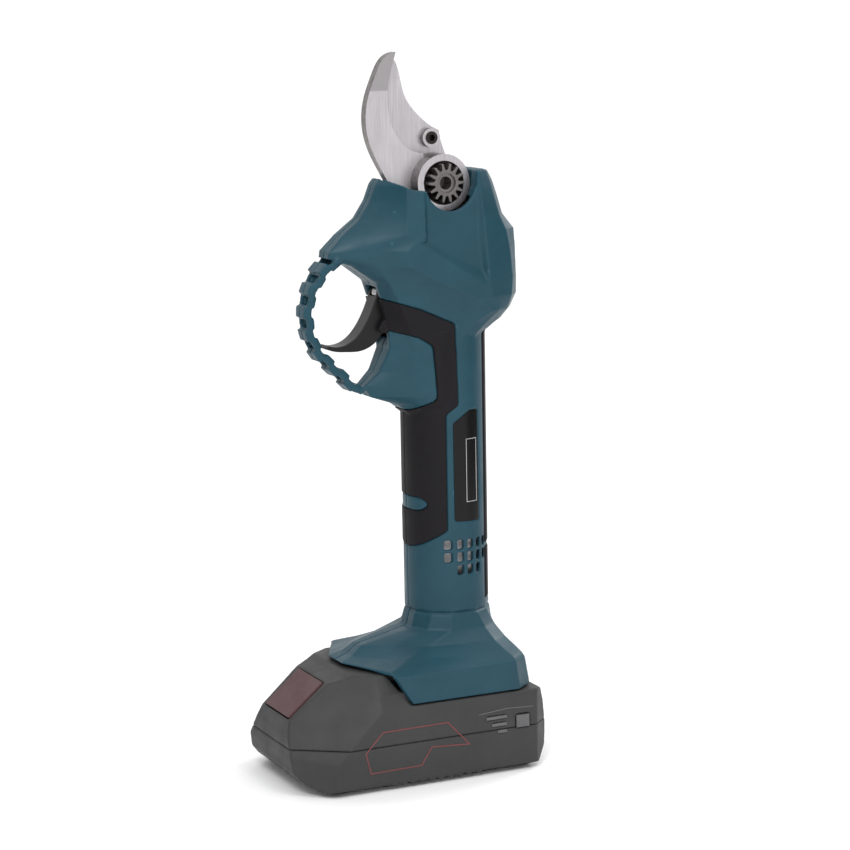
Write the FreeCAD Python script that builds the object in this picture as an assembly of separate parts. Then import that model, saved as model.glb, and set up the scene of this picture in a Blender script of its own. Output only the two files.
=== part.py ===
"""Battery electric pruner, in millimetres.

X runs from the trigger side (-X) to the back of the hand (+X), Y across the tool (the casing's
parting plane is Y = 0, the blade nut faces -Y), Z up along the handle. The origin is on the face
that the battery stands on, under the handle's centre line.
"""
import FreeCAD, Part
import math
import os

V = FreeCAD.Vector

# ---------------------------------------------------------------- driving dimensions
# casing
WALL = 2.6                      # casing wall
GRIP_DEPTH = 1.2                # how deep the soft grips sit in the casing
GRIP_PROUD = 0.4                # how far they stand out of it
GRIP_GAP = 0.35                 # groove round each soft grip
HANDLE_R = 19.5                 # handle, a round grip
HANDLE_X = 0.3                  # its centre line
HANDLE_TOP = 207.0
COLLAR_Z = 73.5                 # groove between handle and foot
COLLAR_GROOVE = 0.7

# cutting head
DRIVE_X = -3.4                  # motor, gearbox and pinion turn about this upright line
PIVOT_Z = 272.0                 # height of the blade pivot, straight above it
HOOK_T = 5.0                    # fixed blade, on the nut's side of Y = 0
BLADE_T = 4.0                   # moving blade
BLADE_GAP = 0.1                 # between the two blades
COLLAR_R, COLLAR_BORE_R = 13.0, 10.0
COLLAR_H = 7.7                  # height of the nut collar on the fixed blade
NUT_TIP_R, NUT_ROOT_R, NUT_TEETH = 8.9, 5.9, 14
NUT_T = 7.0
NUT_PROUD = 3.4                 # nut face above the collar
BOLT_R = 4.4                    # pivot bolt shank
BOLT_BORE_R = 3.0
BOLT_HEAD_R, BOLT_HEAD_T = 8.0, 3.2
BUSH_T = 1.5                    # bronze bush wall
RUN = 0.05                      # radial running clearance
DISC_R = 12.0                   # moving blade round its pivot
BLADE_OPEN_DEG = 45.0

# bevel drive: sector on the moving blade, pinion on the gearbox shaft
BEVEL_M = 1.25
SECTOR_Z, PINION_Z = 32, 10
BEVEL_FACE = 5.4
BEVEL_PRESSURE = math.radians(24)
BEVEL_BACKLASH = 0.26
SECTOR_TEETH = 8
SECTOR_BACK = 2.4               # metal behind the sector's tooth roots
SECTOR_HUB_R = 11.0

# planetary gearbox, two equal stages
PLAN_M = 0.6
SUN_Z, PLANET_Z, RING_Z = 12, 15, 42
PLANETS = 3
PLAN_PRESSURE = math.radians(25)
PLAN_BACKLASH = 0.14
PLANET_W = 5.6
RING_R = 15.0                   # outside of the ring gear
STAGE_Z = (219.0, 229.4)        # undersides of the planets
PLANET_PIN_R = 1.2
CARRIER_T = 2.4
OUTPUT_R = 3.4                  # output shaft

# motor
MOTOR_R, MOTOR_Z = 13.0, (172.0, 214.0)
CAN_T = 1.2
SHAFT_R = 1.6

# trigger
TRIG_X, TRIG_Z = -30.4, 222.4   # its pin
TRIG_W = 10.0
TRIG_SLOT_W = 11.2
TRIG_PIN_R = 1.5
TRIG_EYE_R = 3.4

# battery and the foot over it
BAT_W = 78.0
BAT_TOP = 38.0                  # side walls, up to the foot
BAT_WALL = 2.2
BAT_SPLIT = 21.0                # joint between the battery's two cases
SHOULDER_W, SHOULDER_TOP = 70.0, 44.0
RAIL_NECK_W, RAIL_W = 44.0, 52.0
RAIL_Z = (47.0, 51.4)
BAT_IN_BACK = 18.4              # back end of the rails
FOOT_W = 76.0
FOOT_BACK = 28.2
FOOT_LOW, FOOT_EDGE = 38.6, 52.0
BAY_TOP = 52.2                  # ceiling of the battery bay
SLIDE_GAP = 0.35                # between battery and foot
CELL_R, CELL_LEN, CELL_PITCH = 9.2, 65.0, 19.2
CELL_Z = 13.6
CELL_FIRST_X, CELL_COUNT = -62.0, 5
TERMINAL_Y = 10.0
TERMINAL_T = 1.0

# sections of the casing
# head sections: z, then the near half's corners from front to back as (x, half width):
# nose, cheek, ridge, side, rear corner, back
HEAD = [
    (198.0, (-27.0, 7.0), (-17.0, 14.0), (0.0, 18.8), (9.0, 16.4), (14.0, 12.0), (17.6, 5.0)),
    (203.0, (-30.0, 8.5), (-21.0, 15.6), (0.0, 19.8), (9.0, 18.2), (15.5, 13.0), (19.0, 6.0)),
    (208.0, (-31.0, 8.5), (-23.5, 16.6), (5.0, 20.4), (14.0, 19.2), (21.0, 15.0), (26.6, 8.0)),
    (213.5, (-32.0, 8.5), (-26.0, 16.8), (16.0, 22.4), (19.8, 21.2), (25.5, 17.6), (30.4, 10.5)),
    (220.0, (-33.5, 8.5), (-28.5, 16.6), (7.0, 24.2), (16.0, 23.6), (27.0, 19.6), (33.0, 12.0)),
    (228.0, (-36.0, 8.5), (-32.5, 15.5), (-9.5, 24.4), (14.0, 24.2), (27.0, 20.6), (32.6, 13.0)),
    (236.0, (-47.0, 7.0), (-38.0, 15.0), (-25.0, 22.8), (12.5, 24.4), (26.0, 21.2), (32.0, 13.6)),
    (240.0, (-58.0, 6.0), (-42.0, 13.4), (-25.5, 22.7), (12.2, 24.4), (25.5, 21.3), (31.8, 13.8)),
    (243.0, (-57.5, 6.0), (-43.0, 12.5), (-26.0, 22.6), (12.0, 24.4), (25.0, 21.4), (31.6, 14.0)),
    (250.0, (-50.5, 5.0), (-27.0, 21.6), (-18.5, 23.6), (11.5, 24.2), (23.5, 21.4), (31.0, 14.0)),
    (257.0, (-41.5, 4.2), (-25.4, 21.0), (-17.8, 23.0), (11.0, 23.8), (20.5, 20.8), (25.4, 13.6)),
    (265.0, (-36.2, 4.0), (-25.2, 20.4), (-17.6, 22.4), (10.4, 23.2), (18.5, 20.0), (23.2, 13.2)),
    (272.0, (-33.4, 4.0), (-25.0, 19.8), (-17.5, 21.9), (9.8, 22.6), (16.8, 19.2), (21.0, 12.8)),
    (280.0, (-27.0, 3.6), (-23.6, 18.6), (-17.0, 21.2), (9.0, 21.9), (14.4, 18.4), (17.4, 12.4)),
]
# foot sections: z, then front, cheek, side front, side back, rear corner, back as above
FOOT = [
    (FOOT_LOW, (-36.0, 12.0), (-35.2, 34.0), (-34.5, FOOT_W / 2), (19.5, FOOT_W / 2),
     (FOOT_BACK, 31.0), (FOOT_BACK, 20.0)),
    (FOOT_EDGE, (-50.0, 10.0), (-46.0, 29.0), (-43.0, FOOT_W / 2), (17.5, FOOT_W / 2),
     (FOOT_BACK - 2.4, 31.0), (FOOT_BACK - 2.4, 20.0)),
    (53.8, (-57.8, 8.0), (-50.0, 23.0), (-44.0, 33.4), (17.4, 36.4), (25.0, 30.0), (25.0, 20.0)),
    (56.2, (-51.0, 6.0), (-42.0, 17.5), (-33.5, 27.5), (15.4, 32.6), (23.4, 27.0), (23.8, 18.0)),
    (60.2, (-45.8, 4.5), (-33.0, 14.5), (-19.4, 21.8), (12.5, 27.0), (20.8, 20.4), (22.2, 10.0)),
    (66.0, (-20.5, 6.0), (-16.5, 14.5), (-7.0, 20.8), (10.0, 21.2), (17.8, 13.5), (21.4, 5.0)),
    (COLLAR_Z, (-18.6, 6.0), (-13.6, 14.2), (-6.0, 18.8), (6.6, 18.9), (14.2, 14.0), (19.9, 5.8)),
    (77.0, (-18.2, 6.0), (-13.3, 14.0), (-6.0, 18.5), (6.6, 18.5), (13.9, 13.8), (19.5, 5.8)),
]

# finger guard
# centre line of the ribbon, two arcs and a straight run
GUARD_TOP = (-49.6, 241.5)
GUARD_MID = (-67.6, 214.5)
GUARD_TURN = (-61.8, 196.4)
GUARD_LOW = (-41.4, 176.0)
GUARD_T = 2.4                   # ribbon thickness
GUARD_STEP = 1.4                # how far the blocks stand out of it
GUARD_PITCH = 10.2
GUARD_START = 7.0               # first block, along the ribbon from its top end
GUARD_CELLS = 7

# casing openings, panel, vents, screws and grips
TRIGGER_NOTCH = [(-52.0, 226.0), (-25.6, 226.0), (-21.8, 215.0), (-21.8, 204.4), (-27.4, 203.2),
                 (-30.0, 197.6), (-52.0, 197.0)]
TOP_OUTLINE = [(-60.0, 276.2), (-33.0, 276.0), (-22.4, 270.0), (-14.8, 269.2),
               (8.4, 269.2), (9.4, 277.7), (12.7, 278.2), (17.0, 277.2), (26.0, 268.0),
               (60.0, 268.0), (60.0, 330.0), (-60.0, 330.0)]
TOP_OUTLINE_R = 1.2
PANEL = [(-17.4, 300.0), (-17.4, 247.0), (11.4, 232.0), (9.4, 246.0), (9.0, 300.0)]
PANEL_FLOOR = 21.6
PANEL_RAMP = 3.2
FLANK = (-30.0, 18.0, 222.0)    # x, x and z: the walls behind the panel are filled up to it
VENT_COLS = [(-8.4, -4.7, 2), (-2.4, 0.8, 3), (2.9, 5.8, 3), (7.7, 10.0, 3), (11.6, 13.4, 2)]
VENT_ROWS = [(103.3, 107.8), (97.3, 101.9), (91.3, 95.9)]
SCREWS = [(25.5, 240.0), (-38.0, 247.0), (25.0, 217.5), (-24.0, 183.0), (0.3, 160.5), (0.3, 80.5)]
SCREW_R, BOSS_R = 1.5, 3.4
LABEL = [(-3.6, 116.6), (-3.8, 162.4), (4.6, 168.2), (9.6, 168.2), (10.0, 116.0)]
GRIP_OUTER = [(-60.0, 227.0), (-34.0, 221.0), (-18.4, 216.0), (-1.9, 208.4), (-0.8, 170.8),
              (-6.6, 166.6), (-6.6, 112.4), (-12.0, 108.9), (-19.5, 103.5), (-60.0, 103.5)]
GRIP_HOLE = [(-60.0, 207.0), (-31.9, 206.3), (-18.7, 202.6), (-12.7, 198.6), (-11.0, 173.6),
             (-20.0, 168.8), (-60.0, 168.2)]
INLAY = [(-60.0, 127.6), (-16.8, 127.6), (-13.6, 124.6), (-16.8, 121.5), (-60.0, 121.5)]
INLAY_R = 2.4
SEAL = [(-29.6, 213.4), (-32.8, 210.6), (-35.0, 207.4), (-33.8, 205.2), (-28.6, 204.6)]
SEAL_Y = (5.8, 8.4)             # lips of soft grip beside the trigger
REAR_GRIP_HALF = 13.6
REAR_GRIP_Z = (77.5, 204.0)
TOP_ROOF = 266.0
SLOT_FRONT, SLOT_BACK = -31.0, 13.6
SLOT_Y = (-5.6, 11.6)           # the opening that the blades come out of
SCOOP_R, SCOOP_BACK_R = 12.2, 13.8
LABEL_T = 0.8
TERMINAL_BLOCK = (-14.0, 12.0, 15.0, 60.0)
SCREW_REACH = [12.0, 11.2, 12.0, 11.2, 12.0, 12.0]

# blade outlines
HOOK_TIP = (-22.6, 331.0)
HOOK_BACK = [(-28.6, 328.2), (-32.7, 321.2), (-37.0, 309.6), (-37.8, 297.4), (-34.7, 286.3),
             (-29.0, 275.5), (-24.5, 266.0)]
HOOK_EDGE = [(-10.0, 285.4), (-17.8, 287.9), (-24.0, 295.4), (-26.9, 306.0), (-26.7, 314.7),
             (-24.3, 325.5)]
BLADE_BACK = [(-20.8, 327.0), (-18.6, 320.0), (-16.2, 310.9), (-10.8, 303.3), (-3.1, 296.8)]
LUG_X, LUG_Z, LUG_R, LUG_SCREW_R = -4.6, 291.9, 4.3, 2.9
LEG_X = (9.2, 15.2)             # legs of the fixed blade, each side of the drive line
LEG_FOOT_Z = 245.0
MOUNT_SCREW_Z, MOUNT_SCREW_R = 251.0, 2.0
LOCK_SCREW_R, LOCK_HEAD_R, LOCK_HEAD_T = 0.9, 1.6, 1.0
LUG_PROUD = 3.0
SECTOR_PIN_R = 1.25

# pivot stack
HOOK_FACE = -HOOK_T
NUT_FACE = HOOK_FACE - COLLAR_H - NUT_PROUD
HUB_END = BLADE_GAP + BLADE_T + 6.0

# bevel drive layout
CARRIER_2_TOP = STAGE_Z[1] + PLANET_W + CARRIER_T + 0.3
# angle of the sector's middle tooth, from +X towards -Z: straight down is 90 degrees
SECTOR_MID = math.radians(90 - BLADE_OPEN_DEG / 2)

# gearbox layout
SUN_R, PLANET_R = SUN_Z * PLAN_M / 2, PLANET_Z * PLAN_M / 2
ORBIT_R = SUN_R + PLANET_R
CARRIER_R = 11.3
RING_ENDS = (STAGE_Z[0] - 1.0, CARRIER_2_TOP + 0.6)
ADDENDUM, DEDENDUM = 0.8 * PLAN_M, 1.1 * PLAN_M
COVER_Z = (RING_ENDS[1], RING_ENDS[1] + 4.6)
BEARING_R = 6.6
POST_T = 4.0

# motor layout
END_CAP_T = 5.0
FRONT_BEARING_R, REAR_BEARING_R = 5.0, 4.0
ROTOR_R, MAGNET_R = 8.8, (9.6, MOTOR_R - CAN_T)
MOTOR_LEAD_Y = (-8.0, 8.0)
LEAD_R = 1.0

# trigger outline
TRIG_FRONT = [(-33.7, 223.8), (-36.0, 217.4), (-41.9, 206.8), (-45.6, 202.9), (-49.9, 200.5),
              (-54.4, 199.8), (-58.4, 200.7)]
TRIG_TIP = [(-58.4, 200.7), (-59.6, 199.3)]
TRIG_BACK = [(-59.6, 199.3), (-55.0, 197.7), (-49.9, 197.2), (-42.6, 197.2), (-36.9, 199.4),
             (-31.6, 204.4), (-28.8, 208.9), (-27.6, 213.8), (-27.3, 219.0)]
TRIG_TOP = (-27.2, 224.4)
BOOT = [(-32.8, 206.0), (-32.2, 204.9), (-27.0, 204.7), (-25.8, 213.6), (-28.4, 214.6)]
BOOT_W = 8.4
SPRING_R, SPRING_W = 3.0, 4.8   # return spring round the trigger's pin

# controller
BOARD = (-11.6, -10.0, -12.0, 12.0, 88.0, 152.0)
SINK = (-9.0, 9.0, -11.0, 11.0, 90.0, 110.0)

# battery outline, button, gauge and board
NOSE_LOW, NOSE_HIGH = (-87.4, 32.6), (-68.6, 48.2)
BAT_PROFILE = [(-74.0, 0.0), (-85.4, 6.0), (-89.6, 11.0), (-90.4, 17.0), (-89.4, 26.0),
               NOSE_LOW, NOSE_HIGH,
               (-61.5, 50.2), (-58.0, 51.8), (-44.6, 51.8), (-35.6, BAT_TOP), (31.6, BAT_TOP),
               (34.4, 30.0), (36.2, 18.7), (35.4, 8.4), (27.0, 0.0)]
BAT_FRONT, BAT_BACK = (-91.5, -73.0, 24.0), (36.6, 27.6, 30.0)   # end, side and half end width
LOW_EDGE = ((31.0, 0.0), (39.0, 3.2))     # y, z of the slanting lower edge
HIGH_EDGE = ((39.0, 36.5), (29.0, 52.0))  # and of the upper one
# corners of the flat between nose and side, as (x, y, z)
NOSE_FLAT = ((-44.0, 33.0, 52.0), (-66.0, 19.0, 50.0), (-60.0, 39.0, 28.0))
NOSE_FLAT_REACH = 60.0
FEET = (-45.0, 4.7, 10, 1.5)    # bumps along the lower edge: first x, pitch, number, radius
BUTTON = (-86.4, -69.2, 14.2)   # release button, along X and half its width
BUTTON_SLOPE = math.atan2(NOSE_HIGH[1] - NOSE_LOW[1], NOSE_HIGH[0] - NOSE_LOW[0])
BUTTON_DEPTH, BUTTON_TRAVEL, BUTTON_GAP = 5.0, 2.6, 0.4
BUTTON_REST = 1.2               # room left under the pressed button
BUTTON_PROUD = 0.6
BUTTON_WIRE = 0.35
SHELF = (9.0, 1.6)              # rib under the button's spring: width along the slope, thickness
GAUGE = (20.2, 23.9, 3.6, 3.2)  # fuel gauge key on the near side: x, z, half length, half height
LEDS = [(1.5, 12.0, 27.0), (4.3, 12.0, 23.6), (7.2, 12.0, 20.2)]    # x, x and z of each window
LED_HALF = 0.7
BAT_SCREWS = [(x, y) for x in (-73.0, 18.0) for y in (-34.4, 34.4)]
BAT_SCREW_SEAT = 2.8            # height of the seat under each screw's head
BOARD_X, BOARD_HALF, BOARD_Z = (-30.0, 15.0), 18.0, (41.6, 43.2)

# ---------------------------------------------------------------- shape helpers


def box(x0, x1, y0, y1, z0, z1):
    return Part.makeBox(x1 - x0, y1 - y0, z1 - z0, V(x0, y0, z0))


def rod_y(x, z, r, y0, y1):
    return Part.makeCylinder(r, y1 - y0, V(x, y0, z), V(0, 1, 0))


def rod_z(x, y, r, z0, z1):
    return Part.makeCylinder(r, z1 - z0, V(x, y, z0), V(0, 0, 1))


def rod_x(y, z, r, x0, x1):
    return Part.makeCylinder(r, x1 - x0, V(x0, y, z), V(1, 0, 0))


def path_xz(points, y):
    """Closed wire in the plane Y = y. A point is (x, z), or (x, z, mid_x, mid_z) where an arc
    through the mid point arrives at it."""
    edges = []
    for here, there in zip(points, points[1:] + points[:1]):
        start, end = V(here[0], y, here[1]), V(there[0], y, there[1])
        if len(there) == 4:
            edges.append(Part.Arc(start, V(there[2], y, there[3]), end).toShape())
        else:
            edges.append(Part.LineSegment(start, end).toShape())
    return Part.Wire(edges)


def prism_xz(points, y0, y1):
    return Part.Face(path_xz(points, y0)).extrude(V(0, y1 - y0, 0))


def prism_xy(points, z0, z1):
    wire = Part.makePolygon([V(x, y, z0) for x, y in points + points[:1]])
    return Part.Face(wire).extrude(V(0, 0, z1 - z0))


def prism_yz(points, x0, x1):
    wire = Part.makePolygon([V(x0, y, z) for y, z in points + points[:1]])
    return Part.Face(wire).extrude(V(x1 - x0, 0, 0))


def rounded(points, radius):
    """The (x, z) polygon with each corner turned into an arc, as path_xz reads it."""
    out = []
    count = len(points)
    for n, (x, z) in enumerate(points):
        corner = V(x, 0, z)
        to_prev = V(points[n - 1][0], 0, points[n - 1][1]) - corner
        to_next = V(points[(n + 1) % count][0], 0, points[(n + 1) % count][1]) - corner
        half = to_prev.getAngle(to_next) / 2
        room = 0.45 * min(to_prev.Length, to_next.Length)
        back = min(radius / math.tan(half), room)
        bend = back * math.tan(half)
        a = corner + to_prev.normalize() * back
        b = corner + to_next.normalize() * back
        bisector = (to_prev + to_next).normalize()
        mid = corner + bisector * (bend / math.sin(half) - bend)
        out += [(a.x, a.z), (b.x, b.z, mid.x, mid.z)]
    return out


def loft_z(sections):
    """Straight-sided loft through closed polygons given as (z, [(x, y), ...])."""
    wires = []
    for z, points in sections:
        wires.append(Part.makePolygon([V(x, y, z) for x, y in points + points[:1]]))
    return Part.makeLoft(wires, True, True)


def fuse(shapes):
    return shapes[0].multiFuse(shapes[1:]).removeSplitter()


def mirrored(shape):
    return shape.mirror(V(0, 0, 0), V(0, 1, 0))


# ---------------------------------------------------------------- casing outline


def section(row, grow):
    """A whole closed section from a row of half corners, moved outwards by grow."""
    middle = (row[1][0] + row[-1][0]) / 2
    near = []
    for n, (x, y) in enumerate(row[1:]):
        end = n in (0, len(row) - 2)
        dx = grow if end else 0.55 * grow
        dy = 0.45 * grow if end else grow
        near.append((x + dx if x > middle else x - dx, -(y + dy)))
    return near + [(x, -y) for x, y in reversed(near)]


def casing_solid(grow=0.0):
    """Head, handle, finger pod and foot as one solid, its skin moved outwards by grow."""
    head = loft_z([(r[0], section(r, grow)) for r in HEAD])
    handle = rod_z(HANDLE_X, 0, HANDLE_R + grow, 74.0, HANDLE_TOP)
    neck = Part.makeCone(HANDLE_R + grow, HANDLE_R - 2.0 + grow, 14.0,
                         V(HANDLE_X, 0, HANDLE_TOP), V(0, 0, 1))
    foot = loft_z([(r[0], section(r, grow)) for r in FOOT])
    pod = pod_solid(grow)
    return fuse([head, handle, neck, foot, pod])


def pod_solid(grow):
    """The finger pod under the trigger, which the lower end of the guard grows out of."""
    rows = [
        (166.0, (-18.6, 5.0), (-14.5, 10.5), (-8.0, 15.0)),
        (171.0, (-25.0, 5.5), (-17.5, 12.5), (-9.0, 18.0)),
        (175.5, (-38.0, 5.0), (-20.0, 14.2), (-9.5, 18.8)),
        (180.5, (-41.5, 4.8), (-21.0, 15.0), (-9.5, 19.0)),
        (187.0, (-34.5, 6.0), (-21.0, 15.4), (-9.5, 19.0)),
        (197.0, (-29.6, 7.5), (-20.0, 15.4), (-9.0, 18.9)),
        (205.0, (-30.4, 8.5), (-21.5, 15.8), (-8.0, 19.0)),
    ]
    sections = []
    for z, (xf, wf), (xc, wc), (xs, ws) in rows:
        near = [(xf - grow, -(wf + 0.5 * grow)), (xc - 0.5 * grow, -(wc + 0.8 * grow)),
                (xs, -(ws + grow)), (0.0, -(ws + grow))]
        sections.append((z, near + [(x, -y) for x, y in reversed(near)]))
    return loft_z(sections)


# ---------------------------------------------------------------- finger guard


def guard_points():
    """(centre, outward normal, half width) at even steps of GUARD_PITCH / 2 down the ribbon."""
    arc = Part.Arc(V(GUARD_TOP[0], 0, GUARD_TOP[1]), V(GUARD_MID[0], 0, GUARD_MID[1]),
                   V(GUARD_TURN[0], 0, GUARD_TURN[1])).toShape()
    run = Part.LineSegment(V(GUARD_TURN[0], 0, GUARD_TURN[1]),
                           V(GUARD_LOW[0], 0, GUARD_LOW[1])).toShape()
    out = []
    steps = [n * GUARD_PITCH / 2 + GUARD_START for n in range(2 * GUARD_CELLS + 1)]
    for s in [0.0] + steps:
        edge, at = (arc, s) if s < arc.Length else (run, s - arc.Length)
        at = min(at, edge.Length)
        par = edge.getParameterByLength(at)
        centre, tangent = edge.valueAt(par), edge.tangentAt(par)
        normal = V(tangent.z, 0, -tangent.x)
        if normal.x > 0:
            normal = normal * -1
        width = 8.6 - 3.6 * min(1.0, s / 30.0)
        out.append((centre, tangent, normal, width))
    return out


def placed_box(centre, tangent, normal, along, inward, outward, half):
    """A box on the ribbon: along the tangent, from inward to outward on the normal."""
    corners = []
    for t, n in ((-along / 2, -inward), (along / 2, -inward),
                 (along / 2, outward), (-along / 2, outward)):
        p = centre + tangent * t + normal * n
        corners.append((p.x, p.z))
    return prism_xz(corners, -half, half)


def guard_solid():
    stations = guard_points()
    ribbon = []
    for (c0, t0, n0, w0), (c1, t1, n1, w1) in zip(stations, stations[1:]):
        half = GUARD_T / 2
        quad = [c0 + n0 * half, c1 + n1 * half, c1 - n1 * half, c0 - n0 * half]
        ribbon.append(prism_xz([(p.x, p.z) for p in quad], -(w0 + w1) / 2, (w0 + w1) / 2))
    blocks, pockets = [], []
    for n, (c, t, nrm, w) in enumerate(stations[1:]):
        if n % 2:
            blocks.append(placed_box(c, t, nrm, 0.52 * GUARD_PITCH, 0.4,
                                     GUARD_T / 2 + GUARD_STEP, w))
        else:
            blocks.append(placed_box(c, t, nrm, 0.50 * GUARD_PITCH,
                                     GUARD_T / 2 + GUARD_STEP, 0.4, w - 0.3))
            pockets.append(placed_box(c, t, nrm, 0.34 * GUARD_PITCH, GUARD_STEP - 0.2,
                                      GUARD_T, w - 1.7))
    return fuse(ribbon + blocks).cut(Part.makeCompound(pockets))


# ---------------------------------------------------------------- casing halves


def pocket_solid(side):
    """The sunk panel beside the nut, with sloping edges. side is -1 on the nut's side."""
    floor = Part.Face(path_xz(PANEL, side * PANEL_FLOOR))
    slab = floor.extrude(V(0, side * 8.0, 0))
    lower = [(-26.5, 247.2), (-17.4, 247.0), (11.4, 232.0), (14.2, 224.4), (0.6, 231.6)]
    ramp_floor = path_xz([(-17.6, 247.0), (-17.4, 247.1), (11.4, 232.1), (11.3, 231.9),
                          (0.6, 237.3)], side * PANEL_FLOOR)
    ramp_top = path_xz(lower, side * (PANEL_FLOOR + PANEL_RAMP))
    ramp = Part.makeLoft([ramp_floor, ramp_top], True, True)
    strip_floor = path_xz([(9.0, 300.0), (9.4, 246.0), (11.4, 232.0), (8.0, 240.0)],
                          side * PANEL_FLOOR)
    strip_top = path_xz([(11.6, 300.0), (12.2, 246.0), (14.2, 224.4), (8.0, 240.0)],
                        side * (PANEL_FLOOR + PANEL_RAMP))
    strip = Part.makeLoft([strip_floor, strip_top], True, True)
    return fuse([slab, ramp, strip])


def vents():
    cuts = []
    for x0, x1, rows in VENT_COLS:
        for z0, z1 in VENT_ROWS[:rows]:
            cuts.append(box(x0, x1, -40, 40, z0, z1))
    return Part.makeCompound(cuts)


def grip_region(clear):
    """The soft grip's outline, pushed through the tool, smaller all round by clear."""
    outer = Part.Face(path_xz(rounded(GRIP_OUTER, 2.0), -60)).extrude(V(0, 120, 0))
    hole = Part.Face(path_xz(rounded(GRIP_HOLE, 3.0), -60)).extrude(V(0, 120, 0))
    inlay = Part.Face(path_xz(rounded(INLAY, INLAY_R), -60)).extrude(V(0, 120, 0))
    region = outer.cut(hole).cut(inlay)
    if clear:
        wide = Part.Wire(path_xz(rounded(GRIP_OUTER, 2.0), -60)).makeOffset2D(-clear)
        outer = Part.Face(wide).extrude(V(0, 120, 0))
        hole = Part.Face(path_xz(rounded(GRIP_HOLE, 3.0), -60).makeOffset2D(clear))
        inlay = Part.Face(path_xz(rounded(INLAY, INLAY_R), -60).makeOffset2D(clear))
        region = outer.cut(hole.extrude(V(0, 120, 0))).cut(inlay.extrude(V(0, 120, 0)))
    return region


def bosses(side):
    """Screw bosses of one casing half, from the parting plane outwards, with the screw's bore."""
    posts = [rod_y(x, z, BOSS_R, 0, 40) for x, z in SCREWS]
    return [p if side > 0 else mirrored(p) for p in posts]


def casing_cavity():
    inner = casing_solid(-WALL)
    roof = box(-80, 60, -40, 40, TOP_ROOF, 320)
    floor = box(-80, 60, -40, 40, BAY_TOP, BAY_TOP + WALL)
    flank = box(FLANK[0], FLANK[1], -40, 40, FLANK[2], TOP_ROOF)
    flank = flank.cut(box(FLANK[0], FLANK[1], WALL - PANEL_FLOOR, PANEL_FLOOR - WALL,
                          FLANK[2], TOP_ROOF))
    return inner.cut(roof).cut(floor).cut(flank)


def head_openings():
    """The slot for the blades and the round recesses over the nut and the bolt head."""
    slot = box(SLOT_FRONT, SLOT_BACK, SLOT_Y[0], SLOT_Y[1], 250, 300)
    nut_side = fuse([rod_y(DRIVE_X - 0.6, PIVOT_Z, SCOOP_R, -40, -15),
                     rod_y(DRIVE_X, PIVOT_Z, SCOOP_BACK_R, -15.5, SLOT_Y[0] + 1)])
    bolt_side = rod_y(DRIVE_X, PIVOT_Z, SCOOP_BACK_R, SLOT_Y[1] - 1, SLOT_Y[1] + 6.0)
    return [slot, nut_side, bolt_side]


def foot_bay():
    """Room for the battery's rails, with the ribs that it hangs from left standing."""
    half = SHOULDER_W / 2 + SLIDE_GAP
    bay = box(-90, BAT_IN_BACK + 0.8, -half, half, 30, BAY_TOP)
    ribs = []
    for side in (-1, 1):
        y0, y1 = sorted((side * (RAIL_NECK_W / 2 + SLIDE_GAP), side * (half + 1)))
        ribs.append(box(-34, BAT_IN_BACK + 1, y0, y1, SHOULDER_TOP + SLIDE_GAP,
                        RAIL_Z[0] - SLIDE_GAP))
    return bay.cut(ribs[0]).cut(ribs[1])


def rear_grip_region(clear):
    half = REAR_GRIP_HALF - clear
    z0, z1 = REAR_GRIP_Z
    tall = box(6, 60, -half, half, z0 + clear, z1 - clear)
    return tall.cut(box(6, 60, -half - 1, half + 1, 102.2 - clear, 104.0 + clear))


def skin(grow_in, grow_out):
    """The layer of the casing from grow_in below its skin to grow_out above it."""
    return casing_solid(grow_out).cut(casing_solid(-grow_in))


def make_casing():
    outer = casing_solid()
    shell = outer.cut(casing_cavity())
    web = box(-80, 60, -40, 40, 60, 268)
    posts = fuse(bosses(1) + bosses(-1)).common(outer).common(web)
    shell = shell.fuse([posts, guard_solid().cut(casing_cavity())])
    soft = skin(GRIP_DEPTH, 5.0)
    cuts = head_openings() + [
        foot_bay(), vents(), pocket_solid(-1), pocket_solid(1),
        Part.Face(path_xz(rounded(TOP_OUTLINE, TOP_OUTLINE_R), -60)).extrude(V(0, 120, 0)),
        prism_xz(TRIGGER_NOTCH, -TRIG_SLOT_W / 2, TRIG_SLOT_W / 2),
        terminal_block_hole(), collar_groove(),
        soft.common(grip_region(0.0)), soft.common(rear_grip_region(0.0)),
        skin(LABEL_T, 5.0).common(label_region(0.0)),
        rod_y(TRIG_X, TRIG_Z, TRIG_PIN_R, -TRIG_SLOT_W, TRIG_SLOT_W),
    ]
    for c in cuts:
        shell = shell.cut(c)
    for x, z in SCREWS:
        shell = shell.cut(fuse([rod_y(x, z, SCREW_R, -9, 12), rod_y(x, z, SCREW_R + 1.4, 9, 60)]))
    return shell.removeSplitter()


def main_solid(shape):
    return max(shape.Solids, key=lambda s: s.Volume)


def label_region(clear):
    wire = path_xz(rounded(LABEL, 1.2), -60)
    if clear:
        wire = wire.makeOffset2D(-clear)
    return Part.Face(wire).extrude(V(0, 120, 0))


def terminal_block_hole():
    x0, x1, half, top = TERMINAL_BLOCK
    return box(x0, x1, -half, half, BAY_TOP - 1, top)


def collar_groove():
    ring = rod_z(HANDLE_X, 0, 40, COLLAR_Z - 0.6, COLLAR_Z + 0.6)
    return ring.common(skin(COLLAR_GROOVE, 5.0))


# ---------------------------------------------------------------- soft grips, labels, screws


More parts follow.
